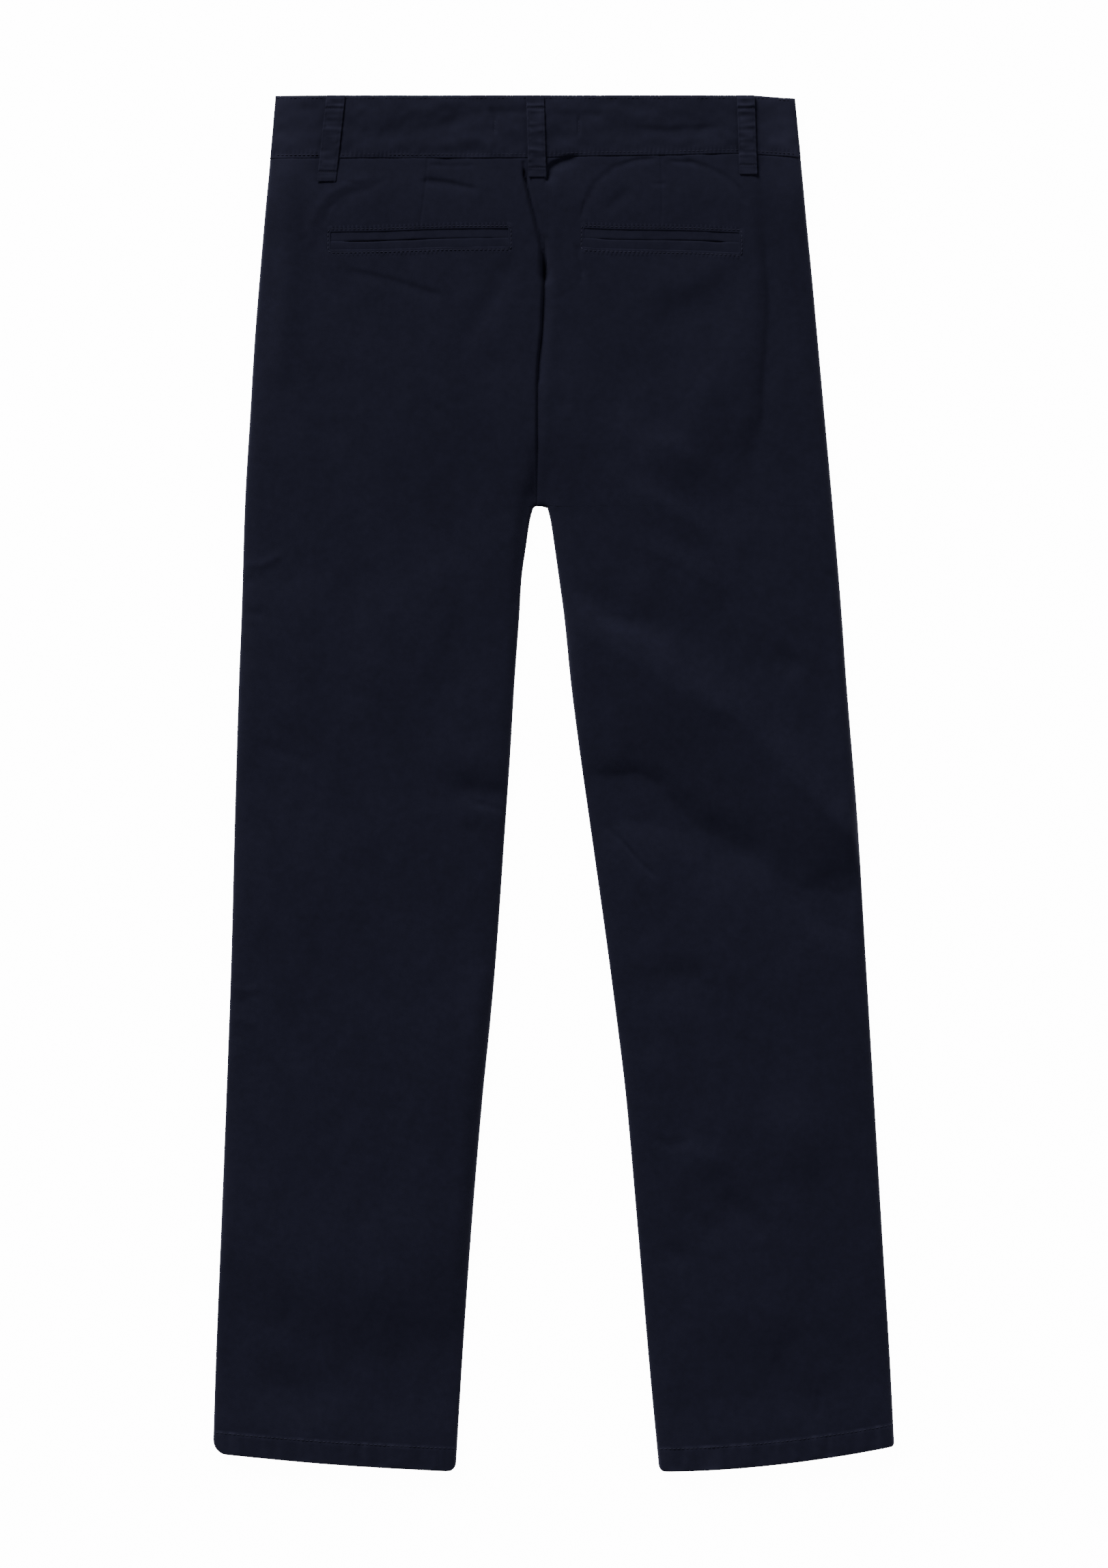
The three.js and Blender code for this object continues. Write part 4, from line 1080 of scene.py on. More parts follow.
@dataclass
class Panels:
    """The four leg panels: two backs with their folds, and two fronts that lie on the floor."""

    lay: Lay
    rim: float = 1.1
    edge_radius: float = 1.9
    front_edge: float = 0.8
    seam_sink: float = 0.6
    under_band: float = 1.9
    pocket_sink: float = 1.1
    slant_set_in: float = 32.0
    slant_foot: float = 172.0
    made: dict[str, bpy.types.Object] = field(default_factory=dict)

    def slant(self, side: Side, drop: Array) -> Array:
        """Across of the slanted front pocket's edge."""
        seam = FRONT_BAND_FOOT + SEAM_GAP
        start = SIDE_EDGES.at(side.label, np.array(seam)) - side.value * self.slant_set_in
        stop = SIDE_EDGES.at(side.label, np.array(self.slant_foot))
        return lerp(start, stop, np.clip((drop - seam) / (self.slant_foot - seam), 0, 1))

    def back_wear(self, across: Array, drop: Array) -> Array:
        """Wear and painted highlight of the back: wear along the hems' fold and stitches, and lighter free edges and
        waist ends that are partly wear and partly a painted highlight.
        """
        up = self.lay.to_hem(across, drop)
        streak = 0.5 + 0.5 * self.lay.fine.at(across, drop * 0.1, 3.4)
        stitch = 0.75 * streak**3 * np.exp(-(((up - HEM_TURN_UP - 0.5) / 0.9) ** 2))
        fold = 0.10 * np.exp(-((up / 1.2) ** 2))
        puckers = 0.22 * np.where(up < HEM_TURN_UP, 1, 0) * streak**2
        outer, inner = self.lay.edge_distances(across, drop)
        legs = np.where(drop > CROTCH_DROP, inner, 1e3)
        # Lighter along the free edges: worn fold edges with a painted rim highlight.
        edge = 0.10 * np.exp(-((np.minimum(outer, legs) / 2.6) ** 1.4))
        # Lighter towards the waist's outer ends: partly fading and partly a painted highlight.
        waist = 0.16 * (1 - smooth(outer / 34)) * (1 - smooth((drop - 30) / 60))
        return np.clip(stitch + fold + puckers + edge + waist, 0, 1)

    def hem_puckers(self, across: Array, drop: Array) -> Array:
        """Uneven upright puckers in the hem, between its stitches and its fold."""
        up = self.lay.to_hem(across, drop)
        within = smooth(up / 3) * smooth((HEM_TURN_UP + 1.5 - up) / 3)
        narrow = self.lay.fine.at(across, drop * 0.08, 3.2)
        wide = self.lay.fine.at(across + 300, drop * 0.06, 7.5)
        groove = 0.16 * (0.6 + 0.8 * narrow) * np.exp(-(((up - HEM_TURN_UP + 0.5) / 0.8) ** 2))
        return within * (0.32 * narrow + 0.34 * wide) - groove

    def back(self, side: Side, finish: bpy.types.Material) -> bpy.types.Object:
        """Build a back panel: its folded outside curls down to the side seams and turns up at the hem."""

        def edge(drop: Array) -> Array:
            return SIDE_EDGES.at(side.label, drop)

        def seam(drop: Array) -> Array:
            return CENTRE_SEAM.at("across", drop)

        shape = PanelShape(side, 35.9)
        rows = panel_rows(shape, edge, seam)
        across, drop, grain = spread(rows, shape.shares(self.close_shares(side)), side)
        height = self.lay.back_top(across, drop) + self.hem_puckers(across, drop)
        foot = BAND_FOOT.at("foot", across)
        height -= self.under_band * smooth((foot + 0.1 - drop) / 1.2)
        height -= 0.35 * np.exp(-np.maximum(drop - foot, 0) / 1.3) * (drop < 60)
        sink = self.seam_sink * smooth((drop - 96) / 16) * (drop <= CROTCH_DROP)
        height -= sink * np.exp(-np.abs(across - seam(drop)) / 0.7)
        for plan in POCKETS:
            height -= self.pocket_sink * smooth((plan.inside(across, drop) + 2.0) / 1.7)
        outer, inner = self.lay.edge_distances(across, drop)
        parted = smooth((drop - CROTCH_DROP + 2) / 4)
        curl = rounding(outer, self.edge_radius) * lerp(1, rounding(inner, self.edge_radius), parted)
        rim = self.lay.front_underside(across, drop) + self.rim
        height = rim + (height - rim) * curl - rows.under[:, None]
        grid = Grid(place(across, drop, height), grain * MM, self.back_wear(across, drop))
        count = len(rows.under)
        piece = shell(f"cloth_back_{side.label}", grid, Facing.UP, CLOTH_WALL, ((count - 18, count),))
        return self.declare(piece, grid, finish, f"back_{side.label}")

    def close_shares(self, side: Side) -> tuple[float, ...]:
        """Shares of the extra columns that the dart, the pocket's ends and the seat's ditch need."""
        plan = POCKETS[0 if side is Side.LEFT else 1]
        edge, seam = SIDE_EDGES.at(side.label, np.array(92.0)), CENTRE_SEAM.at("across", np.array(92.0))
        ends = np.concatenate([end + np.arange(-2.2, 0.9, 0.6) * way for end, way in
                               ((plan.start, 1), (plan.stop, -1))])
        dart = np.arange(0.55, 0.58, 0.004) if side is Side.LEFT else np.arange(0.535, 0.56, 0.004)
        ditch = np.arange(-10.2, 1.4, 0.8) if side is Side.LEFT else np.zeros(0)
        return tuple(np.concatenate(((np.concatenate((ends, ditch)) - edge) / (seam - edge), dart)))

    def front(self, side: Side, finish: bpy.types.Material) -> bpy.types.Object:
        """Build a front panel: its outside lies on the floor and curls up to the side seams."""

        def edge(drop: Array) -> Array:
            return np.where(drop < self.slant_foot, self.slant(side, drop), SIDE_EDGES.at(side.label, drop))

        def seam(drop: Array) -> Array:
            return FRONT_CENTRE + 0 * drop

        shape = PanelShape(side, FRONT_BAND_FOOT + 0.2, 3.0, 3.2, 3.0)
        rows = panel_rows(shape, edge, seam)
        across, drop, grain = spread(rows, shape.shares(), side)
        height = self.lay.front_underside(across, drop)
        for fold in FRONT_FOLDS:
            height = height + fold.relief(across, drop)
        height += 0.4 * np.exp(-np.abs(across - FRONT_CENTRE) / 0.6) * (drop <= CROTCH_DROP)
        slanted = np.where(drop < self.slant_foot, np.abs(across - self.slant(side, drop)), 1e3)
        outer, inner = self.lay.edge_distances(across, drop)
        parted = smooth((drop - CROTCH_DROP + 2) / 4)
        curl = rounding(np.minimum(outer, slanted), 1.6) * lerp(1, rounding(inner, 1.6), parted)
        height = height + self.front_edge * (1 - curl) + rows.under[:, None]
        grid = Grid(place(across, drop, height), grain * MM, self.back_wear(across, drop))
        count = len(rows.under)
        piece = shell(f"cloth_front_{side.label}", grid, Facing.DOWN, CLOTH_WALL, ((count - 18, count),))
        return self.declare(piece, grid, finish, f"front_{side.label}")

    def hip_facing(self, side: Side, finish: bpy.types.Material) -> bpy.types.Object:
        """Build the hip facing, which passes behind the slanted pocket edge."""
        drop = np.linspace(FRONT_BAND_FOOT + 0.2, self.slant_foot - 4, 50)[:, None]
        edge = SIDE_EDGES.at(side.label, drop)
        behind = self.slant(side, drop) - side.value * 4.0
        share = np.linspace(0, 1, 25)[None, :]
        share = share if side is Side.LEFT else share[:, ::-1]
        across, drop = lerp(edge, behind, share), drop + 0 * share
        seat = self.lay.front_underside(across, drop)
        past_slant = (across - self.slant(side, drop)) * side.value
        outer, _ = self.lay.edge_distances(across, drop)
        hidden = 0.75 * (1 - smooth(past_slant / 12))
        height = seat + hidden + self.front_edge * (1 - rounding(outer, 1.6)) * (1 - hidden)
        grain = np.stack((across, drop), axis=-1)
        grid = Grid(place(across, drop, height), grain * MM, np.zeros(across.shape))
        piece = shell(f"cloth_hip_facing_{side.label}", grid, Facing.DOWN, CLOTH_WALL, ())
        return self.declare(piece, grid, finish, f"hip_facing_{side.label}")

    def declare(self, piece: bpy.types.Object, grid: Grid, finish: bpy.types.Material, node: str) -> bpy.types.Object:
        """Dress a panel and keep it by its node; its flat size and area are worked out but not kept."""
        dress(piece, finish, "cloth", node)
        grid.flat_size
        grid.flat_area
        self.made[node] = piece
        return piece


@dataclass
class WaistButton:
    """Sizes of the waist button, which lies under the left front band."""

    across: float = -12.0
    drop: float = 24.0
    radius: float = 7.5
    thickness: float = 2.0


@dataclass
class Waistband:
    """The band's three stretches, each a flattened fold of cloth with a stitched foot."""

    lay: Lay
    wall: float = 1.45
    top_round: float = 0.75
    foot_round: float = 0.4
    column_step: float = 0.62
    overlap_end: float = 2.0
    underlap_end: float = -34.0
    creases: tuple[Fold, ...] = (
        Fold("left long crease", -0.45, 3.0, ((-120, 23), (-98, 24), (-68, 21), (-40, 13), (-28, 10.5), (-8, 10.5)), 7),
        Fold("left dark crease", -0.5, 1.8, ((-32, 10), (-20, 10.5), (-7, 11)), 3.5, False, True),
        Fold("left tack crease", -0.4, 2.2, ((-27.5, 11), (-26.5, 15))),
        Fold("left upper ridge", 0.3, 4, ((-90, 12), (-66, 9), (-44, 5))),
        Fold("right long crease", -0.75, 2.2, ((55, 20.5), (66, 22), (84, 23), (96, 22), (122, 20.5)), 6),
        Fold("right upper crease", -0.4, 1.6, ((8, 11.8), (30, 12.4), (48, 12)), 4),
        Fold("right inner shade", -0.3, 4, ((14, 27), (20, 29))),
        Fold("right ridge", 0.3, 4, ((30, 31), (52, 30), (70, 30), (100, 29))),
        Fold("left ridge", 0.3, 4, ((-110, 31), (-70, 31), (-20, 30))),
        Fold("left tack", -0.6, 1.2, ((-25.9, 15.5), (-25.9, 23)), None, True, True),
        Fold("right tack", -0.6, 1.2, ((27.4, 15), (27.4, 24)), None, True, True),
    )

    @staticmethod
    def top_line(across: Array) -> Array:
        """Drop of the back band's top edge, which dips at the wearer's right end."""
        return 1.6 * smooth((across - 138) / 26)

    def puckers(self, across: Array, drop: Array, top: Array, foot: Array) -> Array:
        """Upright puckers that the stitches draw into the band at its foot and along its top."""
        at_foot = np.exp(-(((drop - foot + 2.6) / 1.9) ** 2))
        above_foot = np.exp(-(((drop - foot + 6.5) / 4.5) ** 2))
        drift = 2.5 * self.lay.fine.at(across, 0 * across, 21)
        beat = np.sin(2 * math.pi * across / STITCH_PITCH + drift)
        lively = 0.6 + 0.4 * self.lay.fine.at(across + 60, 0 * across, 9)
        drawn = 0.26 * at_foot * beat * lively + 0.24 * above_foot * self.lay.fine.at(across, drop * 0.2, 4.2)
        at_top = np.exp(-(((drop - top - 1.5) / 1.5) ** 2))
        return drawn + 0.16 * at_top * np.sin(2 * math.pi * across / 2.3 + drift)

    def mottle(self, across: Array, drop: Array) -> Array:
        """The band's soft unevenness and its creases."""
        total = 0.36 * self.lay.fine.at(across, drop, 13, 0.1, 0.6)
        total += 0.18 * self.lay.fine.at(across + 500, drop, 6.5, 0.0, 0.7)
        total += 0.06 * self.lay.fine.at(across + 200, drop, 3.4)
        for crease in self.creases:
            total = total + crease.relief(across, drop)
        return total

    def profile(self) -> tuple[Array, Array, Array]:
        """A ring's points as a share of the way down, an offset beyond it, and a share of the wall."""
        down = np.concatenate((np.linspace(0, 0.1, 4), np.linspace(0.14, 0.8, 17), np.linspace(0.83, 1, 11)))
        turn = np.linspace(0, math.pi, 7)[1:-1]
        up = np.linspace(1, 0, 8)
        share = np.concatenate((down, np.ones(5), up, np.zeros(5)))
        offset = np.concatenate((0 * down, self.foot_round * np.sin(turn), 0 * up, -self.top_round * np.sin(turn)))
        depth = np.concatenate((0 * down, (1 - np.cos(turn)) / 2, 0 * up + 1, (1 + np.cos(turn)) / 2))
        return share, offset, depth

    def band(self, name: str, facing: Facing, ends: tuple[Surface, Surface], lines: tuple[Surface, Surface],
             outside: Surface) -> tuple[bpy.types.Object, Grid]:
        """Build one stretch as rings carried from its left end to its right end.

        Args:
            name: The object's name.
            facing: Which way the outside looks.
            ends: Across of the left and the right end, by drop.
            lines: Drop of the top and of the foot, by across.
            outside: Height of the outside.

        Returns:
            The object, and its grid with the flat coordinates.
        """
        share, offset, depth = self.profile()
        if facing is Facing.DOWN:
            share, offset, depth = share[::-1], offset[::-1], depth[::-1]
        middle = np.array(20.0)
        width = float(ends[1](middle) - ends[0](middle))
        way = np.linspace(0, 1, int(width / self.column_step))[:, None]
        rough = lerp(float(ends[0](middle)), float(ends[1](middle)), way)
        top, foot = lines[0](rough), lines[1](rough)
        drop = lerp(top + self.top_round, foot - self.foot_round, share[None, :]) + offset[None, :]
        across = lerp(ends[0](drop), ends[1](drop), way)
        height = outside(across, drop) - facing.value * self.wall * depth[None, :]
        points = place(across, drop, np.maximum(height, 0))
        grain = np.stack((across, drop + depth[None, :] * 100), axis=-1) * MM
        outer, _ = self.lay.edge_distances(across, drop)
        near_top = np.exp(-(((drop - top) / 1.3) ** 2))
        near_foot = np.exp(-(((drop - foot + 1.0) / 0.7) ** 2))
        streak = 0.5 + 0.5 * np.sin(2 * math.pi * across / STITCH_PITCH)
        # The band's ends are painted lighter: partly fading and partly a painted highlight.
        ends_wear_and_highlight = 0.30 * (1 - smooth(outer / 42)) + 0.05
        wear = np.clip(0.22 * near_top + 0.14 * near_foot * streak + ends_wear_and_highlight, 0, 1)
        piece = tube(name, points, grain, wear)
        return piece, Grid(points, np.stack((across, drop), axis=-1) * MM, wear)

    def back_outside(self, across: Array, drop: Array) -> Array:
        """Height of the back band's outside, curled down to its side seams."""
        top, foot = self.top_line(across), BAND_FOOT.at("foot", across)
        rise = self.lay.back_top(across, np.maximum(drop, 0.0)) + self.puckers(across, drop, top, foot)
        rise += self.mottle(across, drop)
        rise -= 0.5 * np.exp(-np.maximum(drop - top, 0) / 2.2)
        outer, _ = self.lay.edge_distances(across, drop)
        rim = self.lay.front_underside(across, drop) + BAND_WALL + SEAM_GAP + self.wall
        return lerp(rim, rise, rounding(outer, 2.2))

    def front_outside(self, across: Array, drop: Array) -> Array:
        """Height of the front band's outside, which looks down."""
        top, foot = 0 * across + FRONT_BAND_TOP, 0 * across + FRONT_BAND_FOOT
        return self.lay.front_underside(across, drop) - 0.5 * self.puckers(across, drop, top, foot)

    def underlap_outside(self, across: Array, drop: Array) -> Array:
        """Height of the right front band's outside, which passes over the left one at the centre."""
        start = self.overlap_end + 10.0
        over = (BAND_WALL + SEAM_GAP) * (1 - smooth((across - start) / 16.0))
        return self.front_outside(across, drop) + over

    def build(self, finish: bpy.types.Material) -> None:
        """Build and dress the three stretches."""

        def left(drop: Array) -> Array:
            return SIDE_EDGES.at("left", drop)

        def right(drop: Array) -> Array:
            return SIDE_EDGES.at("right", drop)

        def steady(value: float) -> Surface:
            return lambda along: value + 0 * along

        back_lines = (self.top_line, lambda across: BAND_FOOT.at("foot", across))
        front_lines = (steady(FRONT_BAND_TOP), steady(FRONT_BAND_FOOT))
        stretches = (
            ("waistband_back", Facing.UP, (left, right), back_lines, self.back_outside),
            ("waistband_front_left", Facing.DOWN, (left, steady(self.overlap_end)), front_lines, self.front_outside),
            ("waistband_front_right", Facing.DOWN, (steady(self.underlap_end), right), front_lines,
             self.underlap_outside),
        )
        for node, facing, ends, lines, outside in stretches:
            piece, flat = self.band(f"cloth_{node}", facing, ends, lines, outside)
            dress(piece, finish, "cloth", node)
            flat.flat_size


@dataclass
class LoopPlan:
    """Where a belt loop runs, and its width."""

    node: str
    top_across: float
    foot_across: float
    top_drop: float
    foot_drop: float
    width: float


@dataclass
class BeltLoops:
    """The five belt loops: flat folded strips, ribbed by their edge stitches."""

    lay: Lay
    band: Waistband
    wall: float = 0.9
    plans: tuple[LoopPlan, ...] = (
        LoopPlan("belt_loop_back_left", -127.0, -133.1, 0.1, 55.4, 12.0),
        LoopPlan("belt_loop_back_center", -0.4, 1.1, 0.1, 52.8, 11.3),
        LoopPlan("belt_loop_back_right", 133.5, 135.1, 0.1, 51.1, 11.3),
        LoopPlan("belt_loop_front_left", -96.0, -96.0, 5.3, 56.0, 11.5),
        LoopPlan("belt_loop_front_right", 96.0, 96.0, 5.3, 56.0, 11.5),
    )

    def seat(self, middle: Array, drop: Array, width: float) -> Array:
        """Height of the highest cloth under each of the loop's sections."""
        samples = middle + (np.linspace(-0.5, 0.5, 7) * width)[None, :]
        drops = drop + 0 * samples
        band = self.band.back_outside(samples, np.minimum(drops, BAND_DEPTH))
        panel = self.lay.back_top(samples, np.maximum(drops, BAND_DEPTH))
        seat = np.where(drops < BAND_DEPTH, band, panel).max(1)
        kernel = np.exp(-np.linspace(-2, 2, 9) ** 2)
        padded = np.pad(seat, 4, mode="edge")
        return np.convolve(padded, kernel / kernel.sum(), mode="valid")

    def stand(self, share: Array) -> Array:
        """How far the loop stands off the cloth by the share of its length."""
        return 0.05 + 0.25 * np.sin(math.pi * np.clip(share * 1.12, 0, 1))

    def wrinkles(self, sideways: Array, run: Array, seed: int) -> Array:
        """Cross wrinkles: an uneven rib about 4.6 mm apart, and broken finer ones over it."""
        noise = Crumple(seed)
        drift = 1.8 * noise.at(run, sideways * 0.25, 11)
        rib = (0.04 + 0.05 * noise.at(run + 70, sideways * 0.4, 6)) * np.sin(2 * math.pi * (run + drift) / 4.6)
        broken = 0.22 * noise.at(sideways + 40, run, 5.0, 0.12, 0.55)
        small = 0.09 * noise.at(sideways + 90, run, 2.3, -0.1, 0.7)
        return rib + broken + small - 0.07 * np.exp(-((sideways / 0.7) ** 2))

    def build_one(self, plan: LoopPlan, finish: bpy.types.Material, seed: int) -> None:
        """Build one loop as rings of a rounded strip carried down its length."""
        facing = Facing.UP if "back" in plan.node else Facing.DOWN
        drop = np.linspace(plan.top_drop, plan.foot_drop, 130)
        share = (drop - plan.top_drop) / (plan.foot_drop - plan.top_drop)
        middle = lerp(plan.top_across, plan.foot_across, share)
        angle = np.linspace(0, 2 * math.pi, 48, endpoint=False) + 0.01
        # A superellipse: each coordinate is a sine or cosine drawn out towards the corners.
        flat_x = np.sign(np.cos(angle)) * np.abs(np.cos(angle)) ** 0.35
        flat_z = np.sign(np.sin(angle)) * np.abs(np.sin(angle)) ** 0.6
        half = plan.width / 2 * (1 + 0.012 * np.sin(2 * math.pi * drop / 4.6 + seed))
        half = half * (0.93 + 0.07 * rounding(drop - plan.top_drop, 1.2) * rounding(plan.foot_drop - drop, 1.2))
        ends = rounding(drop - plan.top_drop, 0.9) * rounding(plan.foot_drop - drop, 0.9)
        thick = self.wall * (0.35 + 0.65 * ends)
        tack, top_tack = plan.foot_drop - 6.3, plan.top_drop + 8.6
        pinch = -0.40 * np.exp(-(((drop - tack) / 0.8) ** 2)) - 0.28 * np.exp(-(((drop - top_tack) / 0.8) ** 2))
        pinch += 0.2 * np.exp(-(((drop - top_tack + 1.8) / 1.0) ** 2)) - 0.25 * smooth((drop - tack) / 2)
        sideways = half[:, None] * flat_x[None, :]
        run = drop[:, None] + 0 * sideways
        if facing is Facing.UP:
            base = self.seat(middle[:, None], drop[:, None], plan.width) + self.stand(share)
        else:
            base, pinch = 0 * drop + self.wall, 0.3 * pinch
        top = flat_z[None, :] > 0
        lift = self.wrinkles(sideways, run, seed) * ends[:, None] + pinch[:, None]
        lift = lift * np.where(top, 0.3 + 0.7 * np.abs(flat_z[None, :]), 0)
        lift -= np.where(top, 0.10 * np.exp(-(((np.abs(flat_x[None, :]) - 0.76) / 0.08) ** 2)), 0)
        height = thick[:, None] * (0.5 + 0.5 * flat_z[None, :]) + lift
        height = base[:, None] + (height if facing is Facing.UP else -np.maximum(height, 0))
        points = place(middle[:, None] + sideways, run, np.maximum(height, 0.0))
        grain = np.stack((sideways, run), axis=-1) * MM
        # Colour follows the relief on top: a painted highlight on the wrinkles' crests and a painted shade in the tack
        # and edge-stitch grooves.
        wear = np.clip(0.12 + 1.1 * np.where(top, lift, 0), 0, 1)
        if facing is Facing.UP:
            points, grain, wear = points[:, ::-1], grain[:, ::-1], wear[:, ::-1]
        piece = tube(f"cloth_{plan.node}", points[:, ::-1], grain[:, ::-1], wear[:, ::-1])
        dress(piece, finish, "cloth", plan.node)

    def build(self, finish: bpy.types.Material) -> None:
        """Build all the loops."""
        for seed, plan in enumerate(self.plans):
            self.build_one(plan, finish, 40 + seed)


@dataclass
class BackPockets:
    """The two jetted back pockets: a puckered stitched frame, and an upper and a lower welt each."""

    lay: Lay
    wall: float = 1.0
    sunk: tuple[float, float] = (0.28, 0.06)
    corner: float = 0.8
    frame_width: float = 6.0
    turned: float = 0.9
    step: float = 0.5

    def welt(self, plan: PocketPlan, upper: bool, finish: bpy.types.Material) -> None:
        """Build a welt as rings of a flattened fold, carried along the opening.

        The slit between the two welts gapes in its middle and closes towards its ends.
        """
        across = np.linspace(plan.start - 0.5, plan.stop + 0.5, 150)
        share = (across - plan.start) / (plan.stop - plan.start)
        to_end = np.minimum(across - plan.start, plan.stop - across)
        uneven = 0.62 + 0.38 * self.lay.fine.at(across, 0 * across + 40 * plan.side.value, 13)
        gape = (-0.5 + 1.45 * smooth((to_end - 5) / 10) * uneven) / 2
        slit = plan.line(plan.slit, across)
        high = plan.line(plan.top, across) - 1.6 if upper else slit + gape
        low = slit - gape if upper else plan.line(plan.foot, across) + 0.25
        angle = np.linspace(0, 2 * math.pi, 30, endpoint=False) + 0.01
        flat_y = np.sign(np.cos(angle)) * np.abs(np.cos(angle)) ** 0.3
        flat_z = np.sign(np.sin(angle)) * np.abs(np.sin(angle)) ** 0.45
        middle, half = (high + low) / 2, (low - high) / 2
        drop = middle[:, None] + half[:, None] * flat_y[None, :]
        wide = across[:, None] + 0 * drop
        base = self.lay.back_top(wide, middle[:, None] + 0 * drop)
        lip = flat_y if upper else -flat_y
        roll = 0.12 * np.exp(-(((lip - 0.6) / 0.4) ** 2))
        waves = 0.10 * self.lay.fine.at(wide, drop, 6) + 0.05 * self.lay.fine.at(wide, drop * 0.2, 2.6)
        rise = np.where(flat_z[None, :] > 0, roll[None, :] + waves, 0)
        height = base - self.sunk[0 if upper else 1] - self.wall * (0.5 - 0.5 * flat_z[None, :]) + rise
        points = place(wide, drop, height)
        grain = np.stack((wide, drop), axis=-1) * MM
        # A painted highlight along the welt's rolled lip.
        wear = 0.05 * np.exp(-(((lip - 0.6) / 0.3) ** 2))[None, :] + 0 * wide
        node = f"pocket_welt_{'upper' if upper else 'lower'}_{plan.side.label}"
        piece = tube(f"cloth_{node}", points[:, ::-1], grain[:, ::-1], wear[:, ::-1])
        dress(piece, finish, "cloth", node)

    def outline(self, plan: PocketPlan) -> tuple[Array, Array]:
        """The opening's outline as a closed loop with rounded corners, and its outward directions."""
        corners = ((plan.start, 0), (plan.stop, 0), (plan.stop, 1), (plan.start, 1))
        points, headings = [], []
        for number, (across, low) in enumerate(corners):
            lines = (plan.top, plan.foot)
            drop = float(plan.line(lines[low], np.array(across)))
            turn = np.linspace(-math.pi / 2, 0, 7) + (number - 1) * math.pi / 2
            way = np.stack((np.cos(turn), np.sin(turn)), -1)
            inward = np.array([1 if across == plan.start else -1, -1 if low else 1]) * self.corner
            points.append(np.array([across, drop]) + inward + way * self.corner)
            headings.append(way)
            after, after_low = corners[(number + 1) % 4]
            if low == after_low:
                count = int(abs(after - across) / self.step)
                run = np.linspace(across, after, count)[2:-2]
                points.append(np.stack((run, plan.line(lines[low], run)), -1))
                headings.append(np.tile([0.0, 1.0 if low else -1.0], (len(run), 1)))
        return np.concatenate(points), np.concatenate(headings)

    def frame(self, plan: PocketPlan, finish: bpy.types.Material) -> None:
        """Build the panel's turned and stitched edge round the opening, drawn into teeth by its stitches."""
        path, heading = self.outline(plan)
        out = np.array([-0.3, -0.3, -0.15, 0.1, 0.45, 0.9, 1.3, 1.7, 2.2, 2.8, 3.4, 4.2, 5.0, self.frame_width])
        spot = path[None] + heading[None] * out[:, None, None]
        across, drop = spot[..., 0], spot[..., 1]
        gone = np.concatenate(([0], np.cumsum(np.hypot(*np.diff(path, axis=0).T))))[None, :]
        beat = 0.5 + 0.5 * np.sin(2 * math.pi * gone / STITCH_PITCH + 1.5 * self.lay.fine.at(gone, 0 * gone, 17))
        lively = 0.65 + 0.35 * self.lay.fine.at(gone, 0 * gone + 30, 8)
        away = out[:, None]
        swell = -0.12 + 0.24 * (1 - smooth((away - 0.6) / 5.4))
        teeth = 0.55 * np.exp(-(((away - 2.6) / 1.4) ** 2)) * (beat * lively - 0.3)
        groove = 0.10 * np.exp(-(((away - 1.3) / 0.45) ** 2))
        lip = -0.20 * np.exp(-np.maximum(away + 0.3, 0) / 0.25)
        height = self.lay.back_top(across, drop) + swell + teeth - groove + lip
        height[0] -= self.turned
        height[-1] -= 0.06
        # A painted highlight along the rolled opening edge and on the crests of the stitch puckers.
        wear = np.clip(0.06 * np.exp(-(((away - 0.5) / 0.4) ** 2)) + 0.12 * beat * np.exp(-(((away - 2.1) / 1.2) ** 2)),
                       0, 1) + 0 * across
        grain = np.stack((across, drop), -1) * MM
        piece = new_mesh(f"pocket_frame_{plan.side.label}", place(across, drop, height).reshape(-1, 3),
                         grid_faces(len(out), len(path), close=True)[:, ::-1], grain, wear)
        wall = piece.modifiers.new("wall", "SOLIDIFY")
        wall.thickness, wall.offset = 0.25 * MM, -1
        dress(piece, finish, "cloth")
        flat = Grid(grain, grain, wear)
        flat.flat_size

    def build(self, finish: bpy.types.Material) -> None:
        """Build the welts and the frames."""
        for plan in POCKETS:
            self.welt(plan, True, finish)
            self.welt(plan, False, finish)
            self.frame(plan, finish)


